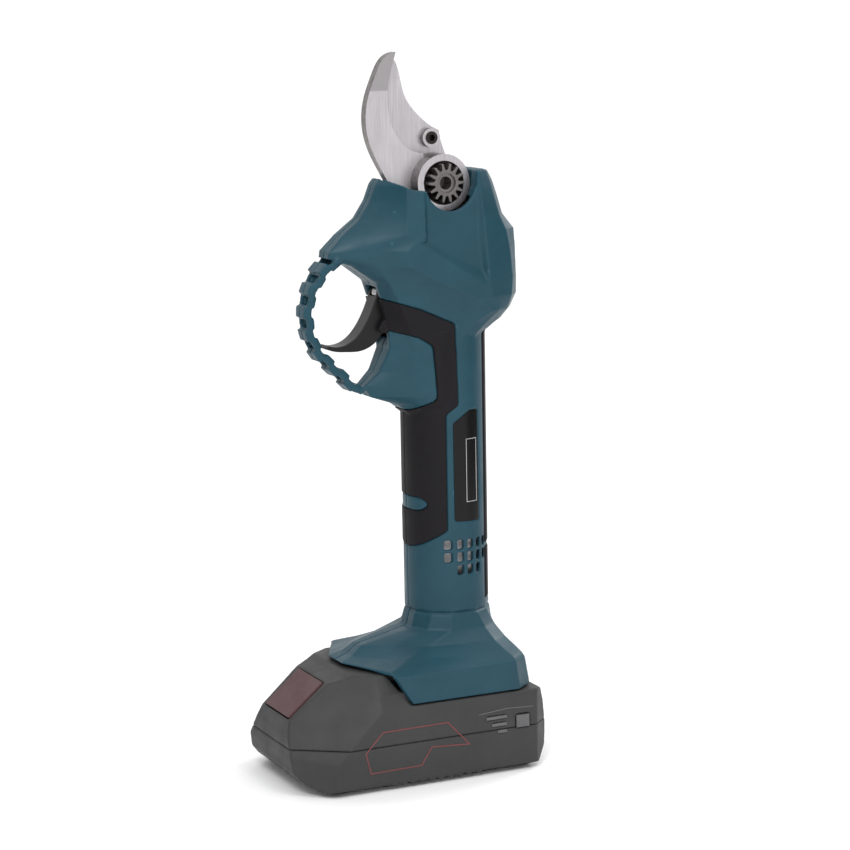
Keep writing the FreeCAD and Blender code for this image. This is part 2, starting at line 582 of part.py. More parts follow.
def make_grips():
    layer = casing_solid(GRIP_PROUD).cut(casing_solid(-GRIP_DEPTH))
    notch = prism_xz(TRIGGER_NOTCH, -TRIG_SLOT_W / 2 - 0.4, TRIG_SLOT_W / 2 + 0.4)
    front = layer.common(grip_region(GRIP_GAP)).common(box(-60, 20, -40, 40, 60, 230)).cut(notch)
    lips = fuse([prism_xz(SEAL, *SEAL_Y), prism_xz(SEAL, -SEAL_Y[1], -SEAL_Y[0])])
    front = front.fuse(lips.cut(casing_solid()))
    rear = layer.common(rear_grip_region(GRIP_GAP))
    near = front.common(box(-60, 20, -40, 0, 60, 230))
    far = front.common(box(-60, 20, 0, 40, 60, 230))
    return near, far, rear


def make_labels():
    layer = casing_solid(-0.1).cut(casing_solid(-LABEL_T)).common(label_region(0.15))
    return layer.common(box(-20, 20, -40, 0, 90, 190)), layer.common(box(-20, 20, 0, 40, 90, 190))


def make_casing_screws():
    out = []
    for x, z in SCREWS:
        reach = SCREW_REACH[SCREWS.index((x, z))]
        shank = rod_y(x, z, SCREW_R, -8, 9)
        head = rod_y(x, z, SCREW_R + 1.3, 9, reach)
        socket = rod_y(x, z, 1.1, reach - 1.4, reach + 1)
        out.append(fuse([shank, head]).cut(socket))
    return Part.makeCompound(out)


# ---------------------------------------------------------------- blades


def spline_face(runs, y):
    """Face in the plane Y = y bounded by splines and lines, each run starting where the last
    one ended."""
    edges = []
    for run in runs:
        points = [V(x, y, z) for x, z in run]
        if len(points) == 2:
            edges.append(Part.LineSegment(points[0], points[1]).toShape())
        else:
            curve = Part.BSplineCurve()
            curve.interpolate(points)
            edges.append(curve.toShape())
    return Part.Face(Part.Wire(edges))


def make_fixed_blade():
    y0 = -HOOK_T
    base_left, base_right = (-24.5, 262.0), (-6.0, 262.0)
    face = spline_face([[HOOK_TIP] + HOOK_BACK, [HOOK_BACK[-1], base_left],
                        [base_left, base_right], [base_right, HOOK_EDGE[0]],
                        HOOK_EDGE + [HOOK_TIP]], y0)
    hook = face.extrude(V(0, HOOK_T, 0))
    disc = rod_y(DRIVE_X, PIVOT_Z, COLLAR_R, y0, 0)
    legs = []
    for side in (-1, 1):
        x0, x1 = sorted((DRIVE_X + side * LEG_X[0], DRIVE_X + side * LEG_X[1]))
        legs.append(box(x0, x1, y0, 0, LEG_FOOT_Z, PIVOT_Z))
    collar = rod_y(DRIVE_X, PIVOT_Z, COLLAR_R, y0 - COLLAR_H, y0)
    plate = fuse([hook.cut(box(-60, 60, -20, 20, 200, 258)), disc, collar] + legs)
    plate = plate.cut(rod_y(DRIVE_X, PIVOT_Z, COLLAR_BORE_R, -30, y0))
    plate = plate.cut(rod_y(DRIVE_X, PIVOT_Z, BOLT_R, -30, 1))
    for x in mount_screw_x():
        plate = plate.cut(rod_y(x, MOUNT_SCREW_Z, MOUNT_SCREW_R, -10, 1))
    lock = lock_screw_place()
    return plate.cut(rod_y(lock[0], lock[1], LOCK_SCREW_R, -10, 1))


def lock_screw_place():
    a = math.radians(140)
    return DRIVE_X + 7.9 * math.cos(a), PIVOT_Z + 7.9 * math.sin(a)


def mount_screw_x():
    mid = (LEG_X[0] + LEG_X[1]) / 2
    return DRIVE_X - mid, DRIVE_X + mid


def make_moving_blade():
    y0 = BLADE_GAP
    right, left = (0.8, 292.0), (-29.6, 300.0)
    low_right, low_left = (DRIVE_X + 8.5, 279.5), (DRIVE_X - 8.5, 279.5)
    edge = [left, (-31.4, 309.0), (-28.6, 319.0), BLADE_BACK[0]]
    face = spline_face([BLADE_BACK, [BLADE_BACK[-1], (0.6, 295.0)], [(0.6, 295.0), right],
                        [right, low_right], [low_right, low_left],
                        [low_left, (-17.0, 285.0), (-24.0, 290.5), left], edge], y0)
    plate = fuse([face.extrude(V(0, BLADE_T, 0)), rod_y(DRIVE_X, PIVOT_Z, DISC_R, y0, y0 + BLADE_T),
                  lug_solid(y0)])
    plate = plate.cut(rod_y(DRIVE_X, PIVOT_Z, BOLT_R + RUN + BUSH_T, -30, 30))
    plate = plate.cut(rod_y(LUG_X, LUG_Z, LUG_SCREW_R, -30, 30))
    for x, z in sector_pins():
        plate = plate.cut(rod_y(x, z, SECTOR_PIN_R, -30, 30))
    return plate


def lug_solid(y0):
    """The raised boss beside the collar that takes the blade's socket screw."""
    boss = rod_y(LUG_X, LUG_Z, LUG_R, y0 - LUG_PROUD, y0 + 0.5)
    return boss.cut(rod_y(DRIVE_X, PIVOT_Z, COLLAR_R + 0.6, -30, y0))


def sector_pins():
    out = []
    for a in (150, 210, 330, 30):
        t = math.radians(a)
        out.append((DRIVE_X + 9.4 * math.cos(t), PIVOT_Z + 9.4 * math.sin(t)))
    return out


def make_lug_screw():
    shank = rod_y(LUG_X, LUG_Z, LUG_SCREW_R, -LUG_PROUD - 0.3, BLADE_GAP + BLADE_T)
    return shank.cut(hexagon_y(LUG_X, LUG_Z, 1.6, -LUG_PROUD - 1, -LUG_PROUD + 2.0))


def hexagon_y(x, z, r, y0, y1):
    corners = [(x + r * math.cos(math.radians(60 * n)), z + r * math.sin(math.radians(60 * n)))
               for n in range(6)]
    return prism_xz(corners, y0, y1)


def hexagon_z(x, y, r, z0, z1):
    corners = [(x + r * math.cos(math.radians(60 * n)), y + r * math.sin(math.radians(60 * n)))
               for n in range(6)]
    return prism_xy(corners, z0, z1)


# ---------------------------------------------------------------- pivot


def make_pivot_bolt():
    shank = rod_y(DRIVE_X, PIVOT_Z, BOLT_R, NUT_FACE + 1.6, HUB_END + RUN)
    head = rod_y(DRIVE_X, PIVOT_Z, BOLT_HEAD_R, HUB_END + RUN, HUB_END + RUN + BOLT_HEAD_T)
    bolt = fuse([shank, head])
    bolt = bolt.cut(rod_y(DRIVE_X, PIVOT_Z, BOLT_BORE_R, NUT_FACE, NUT_FACE + 9.0))
    return bolt.cut(hexagon_y(DRIVE_X, PIVOT_Z, 4.2, HUB_END + 1.4, HUB_END + 9))


def make_pivot_nut():
    points = []
    step = 360.0 / NUT_TEETH
    for n in range(NUT_TEETH):
        for turn, r in ((-0.32, NUT_ROOT_R), (-0.12, NUT_TIP_R), (0.12, NUT_TIP_R),
                        (0.32, NUT_ROOT_R)):
            a = math.radians((n + turn) * step)
            points.append((DRIVE_X + r * math.cos(a), PIVOT_Z + r * math.sin(a)))
    gear = prism_xz(points, NUT_FACE, NUT_FACE + NUT_T)
    return gear.cut(rod_y(DRIVE_X, PIVOT_Z, BOLT_R, NUT_FACE - 1, 0))


def make_nut_washer():
    disc = rod_y(DRIVE_X, PIVOT_Z, COLLAR_BORE_R - 0.1, NUT_FACE + NUT_T, HOOK_FACE)
    lock = lock_screw_place()
    disc = disc.cut(rod_y(lock[0], lock[1], LOCK_SCREW_R, -30, 0))
    disc = disc.cut(rod_y(lock[0], lock[1], LOCK_HEAD_R, -30, NUT_FACE + NUT_T + LOCK_HEAD_T))
    return disc.cut(rod_y(DRIVE_X, PIVOT_Z, BOLT_R, -30, 0))


def make_lock_screw():
    x, z = lock_screw_place()
    top = NUT_FACE + NUT_T + 0.1
    head = rod_y(x, z, LOCK_HEAD_R, top, NUT_FACE + NUT_T + LOCK_HEAD_T)
    return fuse([head, rod_y(x, z, LOCK_SCREW_R, top, -1.0)])


def make_pivot_bush():
    outer = rod_y(DRIVE_X, PIVOT_Z, BOLT_R + RUN + BUSH_T, BLADE_GAP, HUB_END)
    return outer.cut(rod_y(DRIVE_X, PIVOT_Z, BOLT_R + RUN, -1, 20))


# ---------------------------------------------------------------- bevel drive


def involute_tooth(teeth, module, pressure, addendum, dedendum, backlash, steps):
    """One tooth's right flank from root to tip as (angle from the tooth's centre, radius)."""
    pitch_r = teeth * module / 2
    base_r = pitch_r * math.cos(pressure)
    half = math.pi / (2 * teeth) - backlash / (4 * pitch_r)

    def inv(r):
        a = math.acos(min(1.0, base_r / r))
        return math.tan(a) - a
    low = max(base_r, pitch_r - dedendum)
    flank = [(half + inv(pitch_r) - inv(low), pitch_r - dedendum)]
    for n in range(steps + 1):
        r = low + (pitch_r + addendum - low) * n / steps
        flank.append((half + inv(pitch_r) - inv(r), r))
    return flank


def bevel_tooth(teeth, mate, turn):
    """A straight bevel tooth as a solid: apex at the origin, axis +Z, large end at the top."""
    cone = math.atan(teeth / mate)
    pitch_r = teeth * BEVEL_M / 2
    dist = pitch_r / math.sin(cone)
    virtual_r = pitch_r / math.cos(cone)
    flank = involute_tooth(teeth / math.cos(cone), BEVEL_M, BEVEL_PRESSURE, 0.8 * BEVEL_M,
                           1.1 * BEVEL_M, BEVEL_BACKLASH, 4)
    if flank[0][1] >= flank[1][1] - 1e-6:
        flank = flank[1:]
    sunk = (flank[0][0], flank[0][1] - 0.35 * BEVEL_M)
    right = [sunk] + flank
    outline = right + [(-a, r) for a, r in reversed(right)]
    large = []
    for a, r in outline:
        theta = turn + a / math.cos(cone)
        rise = r - virtual_r
        rad = pitch_r + rise * math.cos(cone)
        z = pitch_r / math.tan(cone) - rise * math.sin(cone)
        large.append(V(rad * math.cos(theta), rad * math.sin(theta), z))
    shrink = (dist - BEVEL_FACE) / dist
    small = [p * shrink for p in large]
    faces = []
    count = len(large)
    for n in range(count):
        m = (n + 1) % count
        faces.append(Part.Face(Part.makePolygon([large[n], large[m], small[m], small[n],
                                                 large[n]])))
    for ring in (large, small):
        for n in range(count // 2 - 1):
            a, b, c, d = ring[n], ring[n + 1], ring[count - 2 - n], ring[count - 1 - n]
            faces.append(Part.Face(Part.makePolygon([a, b, c, a])))
            faces.append(Part.Face(Part.makePolygon([a, c, d, a])))
    solid = Part.makeSolid(Part.makeShell(faces))
    if solid.Volume < 0:
        solid.reverse()
    return solid


def cone_ends(teeth, mate, rise):
    """(radius, axial distance) at the large and small ends of the cone rise above the pitch."""
    cone = math.atan(teeth / mate)
    pitch_r = teeth * BEVEL_M / 2
    dist = pitch_r / math.sin(cone)
    rad = pitch_r + rise * math.cos(cone)
    z = pitch_r / math.tan(cone) - rise * math.sin(cone)
    shrink = (dist - BEVEL_FACE) / dist
    return (rad, z), (rad * shrink, z * shrink)


def revolve_z(points):
    wire = Part.makePolygon([V(r, 0, z) for r, z in points + points[:1]])
    return Part.Face(wire).revolve(V(0, 0, 0), V(0, 0, 1), 360)


def make_pinion():
    large, small = cone_ends(PINION_Z, SECTOR_Z, -1.1 * BEVEL_M)
    body = revolve_z([(0, small[1]), small, large, (large[0], large[1] + 1.2),
                      (OUTPUT_R, large[1] + 1.2), (OUTPUT_R, PIVOT_Z - CARRIER_2_TOP),
                      (0, PIVOT_Z - CARRIER_2_TOP)])
    teeth = [bevel_tooth(PINION_Z, SECTOR_Z, 2 * math.pi * n / PINION_Z)
             for n in range(PINION_Z)]
    gear = fuse([body] + teeth)
    gear.rotate(V(0, 0, 0), V(1, 0, 0), 180)
    gear.translate(V(DRIVE_X, 0, PIVOT_Z))
    return gear


def make_sector():
    """Bevel sector with its hub, in gear coordinates, then turned so its axis is +Y."""
    large, small = cone_ends(SECTOR_Z, PINION_Z, -1.1 * BEVEL_M)
    hub_low, hub_high = BLADE_GAP + BLADE_T, HUB_END
    back = large[1] + SECTOR_BACK
    rim = revolve_z([(SECTOR_HUB_R - 1, small[1] + 0.4), (small[0], small[1]), large,
                     (large[0], back), (SECTOR_HUB_R - 1, back)])
    half = math.pi / SECTOR_Z * SECTOR_TEETH
    wedge = prism_xy([(0, 0)] + [(40 * math.cos(a), 40 * math.sin(a))
                                 for a in (-half, -half / 2, 0, half / 2, half)], -5, 30)
    rim = rim.common(wedge)
    hub = Part.makeCylinder(SECTOR_HUB_R, hub_high - hub_low, V(0, 0, hub_low))
    teeth = []
    for n in range(SECTOR_TEETH - 1):
        turn = 2 * math.pi / SECTOR_Z * (n - (SECTOR_TEETH - 2) / 2)
        teeth.append(bevel_tooth(SECTOR_Z, PINION_Z, turn))
    gear = fuse([rim, hub] + teeth)
    gear = gear.cut(Part.makeCylinder(BOLT_R + RUN + BUSH_T, 60, V(0, 0, -20)))
    gear.rotate(V(0, 0, 0), V(1, 0, 0), -90)
    down = math.degrees(SECTOR_MID)
    gear.rotate(V(0, 0, 0), V(0, 1, 0), down)
    gear.translate(V(DRIVE_X, 0, PIVOT_Z))
    for x, z in sector_pins():
        gear = gear.cut(rod_y(x, z, SECTOR_PIN_R, -30, 30))
    return gear


def make_sector_pins():
    return Part.makeCompound([rod_y(x, z, SECTOR_PIN_R, BLADE_GAP + 0.2, HUB_END - 0.2)
                              for x, z in sector_pins()])


# ---------------------------------------------------------------- planetary gearbox


def spur_points(teeth, turn, addendum, dedendum, backlash):
    flank = involute_tooth(teeth, PLAN_M, PLAN_PRESSURE, addendum, dedendum, backlash, 3)
    points = []
    for n in range(teeth):
        centre = turn + 2 * math.pi * n / teeth
        points += [(r, centre - a) for a, r in flank]
        points += [(r, centre + a) for a, r in reversed(flank)]
    return [(r * math.cos(t), r * math.sin(t)) for r, t in points]


def spur_gear(x, y, z0, teeth, turn, width):
    points = spur_points(teeth, turn, ADDENDUM, DEDENDUM, PLAN_BACKLASH)
    gear = prism_xy(points, z0, z0 + width)
    gear.translate(V(x, y, 0))
    return gear


def planet_places():
    """(x, y, turn) of each planet, with its teeth set into the ring gear's."""
    out = []
    for n in range(PLANETS):
        at = 2 * math.pi * n / PLANETS
        turn = at - (at * RING_Z / (2 * math.pi) - 0.5) * 2 * math.pi / PLANET_Z
        out.append((DRIVE_X + ORBIT_R * math.cos(at), ORBIT_R * math.sin(at), turn))
    return out


def sun_turn():
    planet_turn = planet_places()[0][2]
    return ((math.pi - planet_turn) * PLANET_Z / (2 * math.pi) - 0.5) * 2 * math.pi / SUN_Z


def make_sun(z0):
    return spur_gear(DRIVE_X, 0, z0, SUN_Z, sun_turn(), PLANET_W)


def make_motor_sun():
    low, high = STAGE_Z[0] - 1, STAGE_Z[0] + PLANET_W + 1
    return make_sun(STAGE_Z[0]).cut(rod_z(DRIVE_X, 0, SHAFT_R, low, high))


def make_planet(stage, n):
    x, y, turn = planet_places()[n]
    gear = spur_gear(x, y, STAGE_Z[stage], PLANET_Z, turn, PLANET_W)
    return gear.cut(rod_z(x, y, PLANET_PIN_R + RUN, STAGE_Z[stage] - 1, STAGE_Z[stage] + 20))


def make_carrier(stage):
    z0 = STAGE_Z[stage] + PLANET_W + 0.3
    disc = rod_z(DRIVE_X, 0, CARRIER_R, z0, z0 + CARRIER_T)
    pins = [rod_z(x, y, PLANET_PIN_R, STAGE_Z[stage], z0) for x, y, turn in planet_places()]
    return fuse([disc] + pins)


def make_first_carrier():
    """The first stage's carrier, cut in one piece with the second stage's sun gear."""
    top = STAGE_Z[0] + PLANET_W + 0.3 + CARRIER_T
    neck = rod_z(DRIVE_X, 0, SUN_R - DEDENDUM, top, STAGE_Z[1])
    return fuse([make_carrier(0), neck, make_sun(STAGE_Z[1])])


def make_ring_gear():
    tube = rod_z(DRIVE_X, 0, RING_R, RING_ENDS[0], RING_ENDS[1])
    points = spur_points(RING_Z, math.pi / RING_Z, DEDENDUM, ADDENDUM, -PLAN_BACKLASH)
    bore = prism_xy(points, RING_ENDS[0] - 1, RING_ENDS[1] + 1)
    bore.translate(V(DRIVE_X, 0, 0))
    return tube.cut(bore)


def make_gearbox_cover():
    """Bearing plate over the gearbox, with the two posts that carry the fixed blade."""
    plate = rod_z(DRIVE_X, 0, RING_R + 0.8, COVER_Z[0], COVER_Z[1])
    posts = []
    for x in mount_screw_x():
        half = (LEG_X[1] - LEG_X[0]) / 2
        posts.append(box(x - half, x + half, HOOK_FACE - POST_T, HOOK_FACE, COVER_Z[0], 259.0))
    body = fuse([plate] + posts)
    body = body.cut(rod_z(DRIVE_X, 0, BEARING_R, COVER_Z[0] - 1, COVER_Z[1] + 1))
    for x in mount_screw_x():
        body = body.cut(rod_y(x, MOUNT_SCREW_Z, MOUNT_SCREW_R, -20, 0))
    return body


def make_mount_screws():
    out = []
    for x in mount_screw_x():
        shank = rod_y(x, MOUNT_SCREW_Z, MOUNT_SCREW_R, HOOK_FACE - POST_T, -0.4)
        head = rod_y(x, MOUNT_SCREW_Z, 3.0, HOOK_FACE - POST_T - 2.2, HOOK_FACE - POST_T)
        socket = hexagon_y(x, MOUNT_SCREW_Z, 1.5, HOOK_FACE - POST_T - 3, HOOK_FACE - POST_T - 0.9)
        out.append(fuse([shank, head]).cut(socket))
    return Part.makeCompound(out)


def ring_z(r_in, r_out, z0, z1):
    return rod_z(DRIVE_X, 0, r_out, z0, z1).cut(rod_z(DRIVE_X, 0, r_in, z0 - 1, z1 + 1))


def make_output_bearing():
    return ring_z(OUTPUT_R + RUN, BEARING_R, COVER_Z[0] + 0.2, COVER_Z[1] - 0.2)


# ---------------------------------------------------------------- motor


def make_motor_can():
    can = ring_z(MOTOR_R - CAN_T, MOTOR_R, MOTOR_Z[0] + END_CAP_T, MOTOR_Z[1])
    face = ring_z(FRONT_BEARING_R, MOTOR_R, MOTOR_Z[1] - 1.6, MOTOR_Z[1])
    return fuse([can, face])


def make_motor_plate():
    plate = ring_z(FRONT_BEARING_R, RING_R, MOTOR_Z[1], RING_ENDS[0])
    return plate


def make_front_bearing():
    return ring_z(SHAFT_R + RUN, FRONT_BEARING_R, MOTOR_Z[1] - 1.6, RING_ENDS[0] - 0.2)


def make_rear_bearing():
    return ring_z(SHAFT_R + RUN, REAR_BEARING_R, MOTOR_Z[0] + 1.0, MOTOR_Z[0] + END_CAP_T)


def make_motor_end_cap():
    cap = rod_z(DRIVE_X, 0, MOTOR_R, MOTOR_Z[0], MOTOR_Z[0] + END_CAP_T)
    cap = cap.cut(rod_z(DRIVE_X, 0, REAR_BEARING_R, MOTOR_Z[0] + 1.0, MOTOR_Z[1]))
    for y in MOTOR_LEAD_Y:
        cap = cap.cut(rod_z(DRIVE_X, y, LEAD_R, MOTOR_Z[0] - 1, MOTOR_Z[0] + 2.0))
    return cap


def make_magnets():
    tube = ring_z(MAGNET_R[0], MAGNET_R[1], MOTOR_Z[0] + 9.0, MOTOR_Z[1] - 6.0)
    gap = box(-40, 40, -2.2, 2.2, 150, 220)
    return tube.cut(gap)


def make_rotor():
    low, high = MOTOR_Z[0] + 11.0, MOTOR_Z[1] - 8.0
    core = rod_z(DRIVE_X, 0, ROTOR_R, low, high)
    for n in range(5):
        a = math.radians(72 * n)
        x, y = DRIVE_X + ROTOR_R * math.cos(a), ROTOR_R * math.sin(a)
        core = core.cut(rod_z(x, y, 1.9, low - 1, high + 1))
    return core.cut(rod_z(DRIVE_X, 0, SHAFT_R, low - 1, high + 1))


def make_windings():
    low, high = MOTOR_Z[0] + 11.0, MOTOR_Z[1] - 8.0
    return [ring_z(SHAFT_R, 7.6, low - 3.6, low), ring_z(SHAFT_R, 7.6, high, high + 3.6)]


def make_motor_shaft():
    return rod_z(DRIVE_X, 0, SHAFT_R, MOTOR_Z[0] + 1.4, STAGE_Z[0] + PLANET_W)


# ---------------------------------------------------------------- trigger


def trigger_blank():
    """The trigger's outline at its full width."""
    face = spline_face([TRIG_FRONT, TRIG_TIP, TRIG_BACK, [TRIG_BACK[-1], TRIG_TOP],
                        [TRIG_TOP, TRIG_FRONT[0]]], -TRIG_W / 2)
    return face.extrude(V(0, TRIG_W, 0))


def make_trigger():
    eye = rod_y(TRIG_X, TRIG_Z, TRIG_EYE_R, -TRIG_W / 2, TRIG_W / 2)
    body = fuse([trigger_blank(), eye])
    half = SPRING_W / 2 + 0.8
    body = body.cut(rod_y(TRIG_X, TRIG_Z, SPRING_R + 0.9, -half, half))
    return body.cut(rod_y(TRIG_X, TRIG_Z, TRIG_PIN_R + RUN, -10, 10))


def make_trigger_boot():
    """Ribbed plug behind the trigger that fills the casing's opening and carries the magnet."""
    return prism_xz(BOOT, -BOOT_W / 2, BOOT_W / 2).cut(trigger_blank())


def make_trigger_pin():
    return rod_y(TRIG_X, TRIG_Z, TRIG_PIN_R, -TRIG_SLOT_W / 2 - 1.6, TRIG_SLOT_W / 2 + 1.6)


def make_trigger_sensor():
    return box(-21.6, -20.0, -6.0, 6.0, 203.5, 214.5)


# ---------------------------------------------------------------- controller and leads


def make_controller_board():
    return box(*BOARD)


def make_heat_sink():
    x0, x1, y0, y1, z0, z1 = SINK
    fins = [box(BOARD[1], x0 + 2.0, y0, y1, z0, z1)]
    pitch = (y1 - y0 - 1.2) / 6
    for n in range(7):
        fins.append(box(x0, x1, y0 + n * pitch, y0 + n * pitch + 1.2, z0, z1))
    return fuse(fins)


def make_capacitors():
    return [rod_x(y, z, 4.0, BOARD[1], BOARD[1] + 14.0) for y in (-6.0, 6.0)
            for z in (118.0, 128.0)]


def make_connector():
    return box(BOARD[1], BOARD[1] + 7.0, -10.0, 10.0, 138.0, 145.0)


def lead_solid(points, radius):
    """Round lead along straight runs joined by arcs, each as large as its runs allow."""
    vertices = [V(*p) for p in points]
    edges = []
    start = vertices[0]
    for a, b, c in zip(vertices, vertices[1:], vertices[2:]):
        back, ahead = (a - b), (c - b)
        reach = 0.45 * min(back.Length, ahead.Length)
        p = b + back.normalize() * reach
        q = b + ahead.normalize() * reach
        half = (a - b).getAngle(c - b) / 2
        bend = reach * math.tan(half)
        toward = ((a - b).normalize() + (c - b).normalize()).normalize()
        mid = b + toward * (bend / math.sin(half) - bend)
        edges.append(Part.LineSegment(start, p).toShape())
        edges.append(Part.Arc(p, mid, q).toShape())
        print("lead bend radius %.1f" % bend)
        start = q
    edges.append(Part.LineSegment(start, vertices[-1]).toShape())
    wire = Part.Wire(edges)
    first = (vertices[1] - vertices[0]).normalize()
    rim = Part.Wire([Part.Circle(vertices[0], first, radius).toShape()])
    return wire.makePipeShell([rim], True, False)


def motor_lead(n):
    y = MOTOR_LEAD_Y[n]
    side = math.copysign(1, y)
    return lead_solid([(BOARD[1] + 3.5, side * 5.0, 145.0), (BOARD[1] + 3.5, side * 5.0, 153.0),
                       (DRIVE_X - 0.5, side * 6.6, 162.0), (DRIVE_X, y, 168.0),
                       (DRIVE_X, y, MOTOR_Z[0] + 2.0)], LEAD_R)


def battery_lead(n):
    side = (-1, 1)[n]
    top = BOARD[4] + 2.0
    return lead_solid([(0.0, side * 6.0, TERMINAL_BLOCK[3]), (0.0, side * 6.0, 68.0),
                       (-7.0, side * 7.0, 77.0), (BOARD[1] + 1.0, side * 8.0, 83.0),
                       (BOARD[1] + 1.0, side * 8.0, top)], LEAD_R)


def make_terminal_block():
    x0, x1, half, top = TERMINAL_BLOCK
    block = box(x0, x1, -half, half, BAY_TOP, top)
    for side in (-1, 1):
        y = side * TERMINAL_Y
        block = block.cut(box(x0 + 4, x1 - 4, y - TERMINAL_T / 2, y + TERMINAL_T / 2, 50, 58.0))
    return block


def make_blade_contacts():
    x0, x1 = TERMINAL_BLOCK[0], TERMINAL_BLOCK[1]
    return Part.makeCompound([box(x0 + 4, x1 - 4, side * TERMINAL_Y - TERMINAL_T / 2,
                                  side * TERMINAL_Y + TERMINAL_T / 2, 46.6, 58.0)
                              for side in (-1, 1)])


# ---------------------------------------------------------------- battery


def bat_plan(grow):
    half = BAT_W / 2 + grow
    front, front_x, front_y = BAT_FRONT
    back, back_x, back_y = BAT_BACK
    near = [(front - grow, -front_y), (front_x, -half), (back_x, -half), (back + grow, -back_y)]
    return near + [(x, -y) for x, y in reversed(near)]


def slanting_edges(clear):
    """What the slanting lower and upper edges take off the battery's sides."""
    cuts = []
    for ((y0, z0), (y1, z1)), reach in ((LOW_EDGE, 24.0), (HIGH_EDGE, 40.0)):
        along = V(0, y1 - y0, z1 - z0).normalize()
        outward = V(0, along.z, -along.y)
        start = V(0, y0, z0) - along * 12 - outward * clear
        end = start + along * reach
        ends = [start, end, end + outward * 20, start + outward * 20]
        wedge = prism_yz([(p.y, p.z) for p in ends], -100, 60)
        cuts += [wedge, mirrored(wedge)]
    return Part.makeCompound(cuts + nose_flats(clear))


def nose_flats(clear):
    """What the flats between nose and sides take off the battery's upper front corners."""
    a, b, c = [V(*p) for p in NOSE_FLAT]
    outward = (b - a).cross(c - a).normalize()
    if outward.x > 0:
        outward = outward * -1
    middle = (a + b + c) / 3 - outward * clear
    along = (b - a).normalize()
    across = outward.cross(along)
    corners = [middle + along * (u * NOSE_FLAT_REACH) + across * (v * NOSE_FLAT_REACH)
               for u, v in ((-1, -1), (1, -1), (1, 1), (-1, 1), (-1, -1))]
    block = Part.Face(Part.makePolygon(corners)).extrude(outward * NOSE_FLAT_REACH)
    return [block, mirrored(block)]


def bat_outline(clear):
    wire = path_xz(rounded(BAT_PROFILE, 2.4), -60)
    if clear:
        wire = wire.makeOffset2D(-clear)
    return Part.Face(wire).extrude(V(0, 120, 0))


def rail_block(clear):
    half, neck = SHOULDER_W / 2 - clear, RAIL_NECK_W / 2 - clear
    back = BAT_IN_BACK - clear
    return fuse([box(-49.0, back, -half, half, 30.0, SHOULDER_TOP - clear),
                 box(-49.0, back, -neck, neck, 30.0, RAIL_Z[1] - clear)])


def battery_body(clear):
    body = bat_outline(clear).common(prism_xy(bat_plan(-clear), -1, 60))
    body = body.cut(slanting_edges(clear))
    inside = box(-49.0, BAT_IN_BACK, -40, 40, 20, 60)
    return fuse([body, rail_block(clear).common(inside)])


def rails():
    half = RAIL_W / 2
    return [box(-49.0, BAT_IN_BACK, -half, half, RAIL_Z[0], RAIL_Z[1])]


def feet():
    """Small round bumps along both lower edges."""
    first, pitch, count, radius = FEET
    y, z = LOW_EDGE[1]
    out = []
    for n in range(count):
        bump = rod_y(first + n * pitch, z, radius, -y + 0.2, -y + 6.0)
        out += [bump, mirrored(bump)]
    return out


def button_frame(depth, margin, lift):
    """A block sunk square into the sloped nose: depth below it, lift above it."""
    x0, x1, half = BUTTON
    length = (x1 - x0) / math.cos(BUTTON_SLOPE)
    block = Part.makeBox(length + 2 * margin, 2 * (half + margin), depth + lift,
                         V(-margin, -half - margin, -depth))
    return on_nose(block, x0)


def nose_z(x):
    """Height of the battery's sloping nose at x."""
    return NOSE_LOW[1] + (x - NOSE_LOW[0]) * math.tan(BUTTON_SLOPE)


def on_nose(shape, x):
    """A shape drawn flat at the origin, laid on the sloping nose at x."""
    shape.rotate(V(0, 0, 0), V(0, 1, 0), -math.degrees(BUTTON_SLOPE))
    shape.translate(V(x, 0, nose_z(x)))
    return shape


def button_shelf():
    """Cross rib of the upper case that the button's spring stands on."""
    top = BUTTON_DEPTH + BUTTON_TRAVEL + BUTTON_REST
    rib = Part.makeBox(SHELF[0], BAT_W, SHELF[1], V(-SHELF[0] / 2, -BAT_W / 2, -top - SHELF[1]))
    return on_nose(rib, (BUTTON[0] + BUTTON[1]) / 2)


def battery_cuts():
    half = SHOULDER_W / 2
    cuts = [button_frame(BUTTON_DEPTH + BUTTON_TRAVEL + BUTTON_REST, BUTTON_GAP, 6.0)]
    for side in (-1, 1):
        y = side * TERMINAL_Y
        cuts.append(box(-12.0, 40.0, y - 1.4, y + 1.4, 45.6, 60))
    x, z, hl, hh = GAUGE
    cuts.append(box(x - hl, x + hl, -half - 10, -BAT_W / 2 + 5.0, z - hh, z + hh))
    cuts += [box(x0, x1, -half - 10, -BAT_W / 2 + 3.0, z - LED_HALF, z + LED_HALF)
             for x0, x1, z in LEDS]
    return cuts


def make_battery_cases():
    inside = battery_body(BAT_WALL)
    shell = battery_body(0.0).fuse(rails() + feet()).cut(inside)
    shell = shell.fuse(button_shelf().common(inside))
    for c in battery_cuts():
        shell = shell.cut(c)
    lower = shell.common(box(-100, 50, -50, 50, -1, BAT_SPLIT))
    upper = shell.common(box(-100, 50, -50, 50, BAT_SPLIT, 70))
    for x, y in BAT_SCREWS:
        lower = lower.cut(rod_z(x, y, 2.6, -1, BAT_SCREW_SEAT))
        lower = lower.cut(rod_z(x, y, 1.3, 0, BAT_SCREW_SEAT + 4))
    return main_solid(lower), main_solid(upper)


def make_battery_screws():
    out = []
    for x, y in BAT_SCREWS:
        head = rod_z(x, y, 2.5, BAT_SCREW_SEAT - 1, BAT_SCREW_SEAT)
        head = head.cut(hexagon_z(x, y, 1.2, 0, BAT_SCREW_SEAT - 0.4))
        out.append(fuse([head, rod_z(x, y, 1.2, BAT_SCREW_SEAT, BAT_SCREW_SEAT + 7.6)]))
    return Part.makeCompound(out)


def make_release_button():
    return button_frame(BUTTON_DEPTH, 0.0, BUTTON_PROUD)


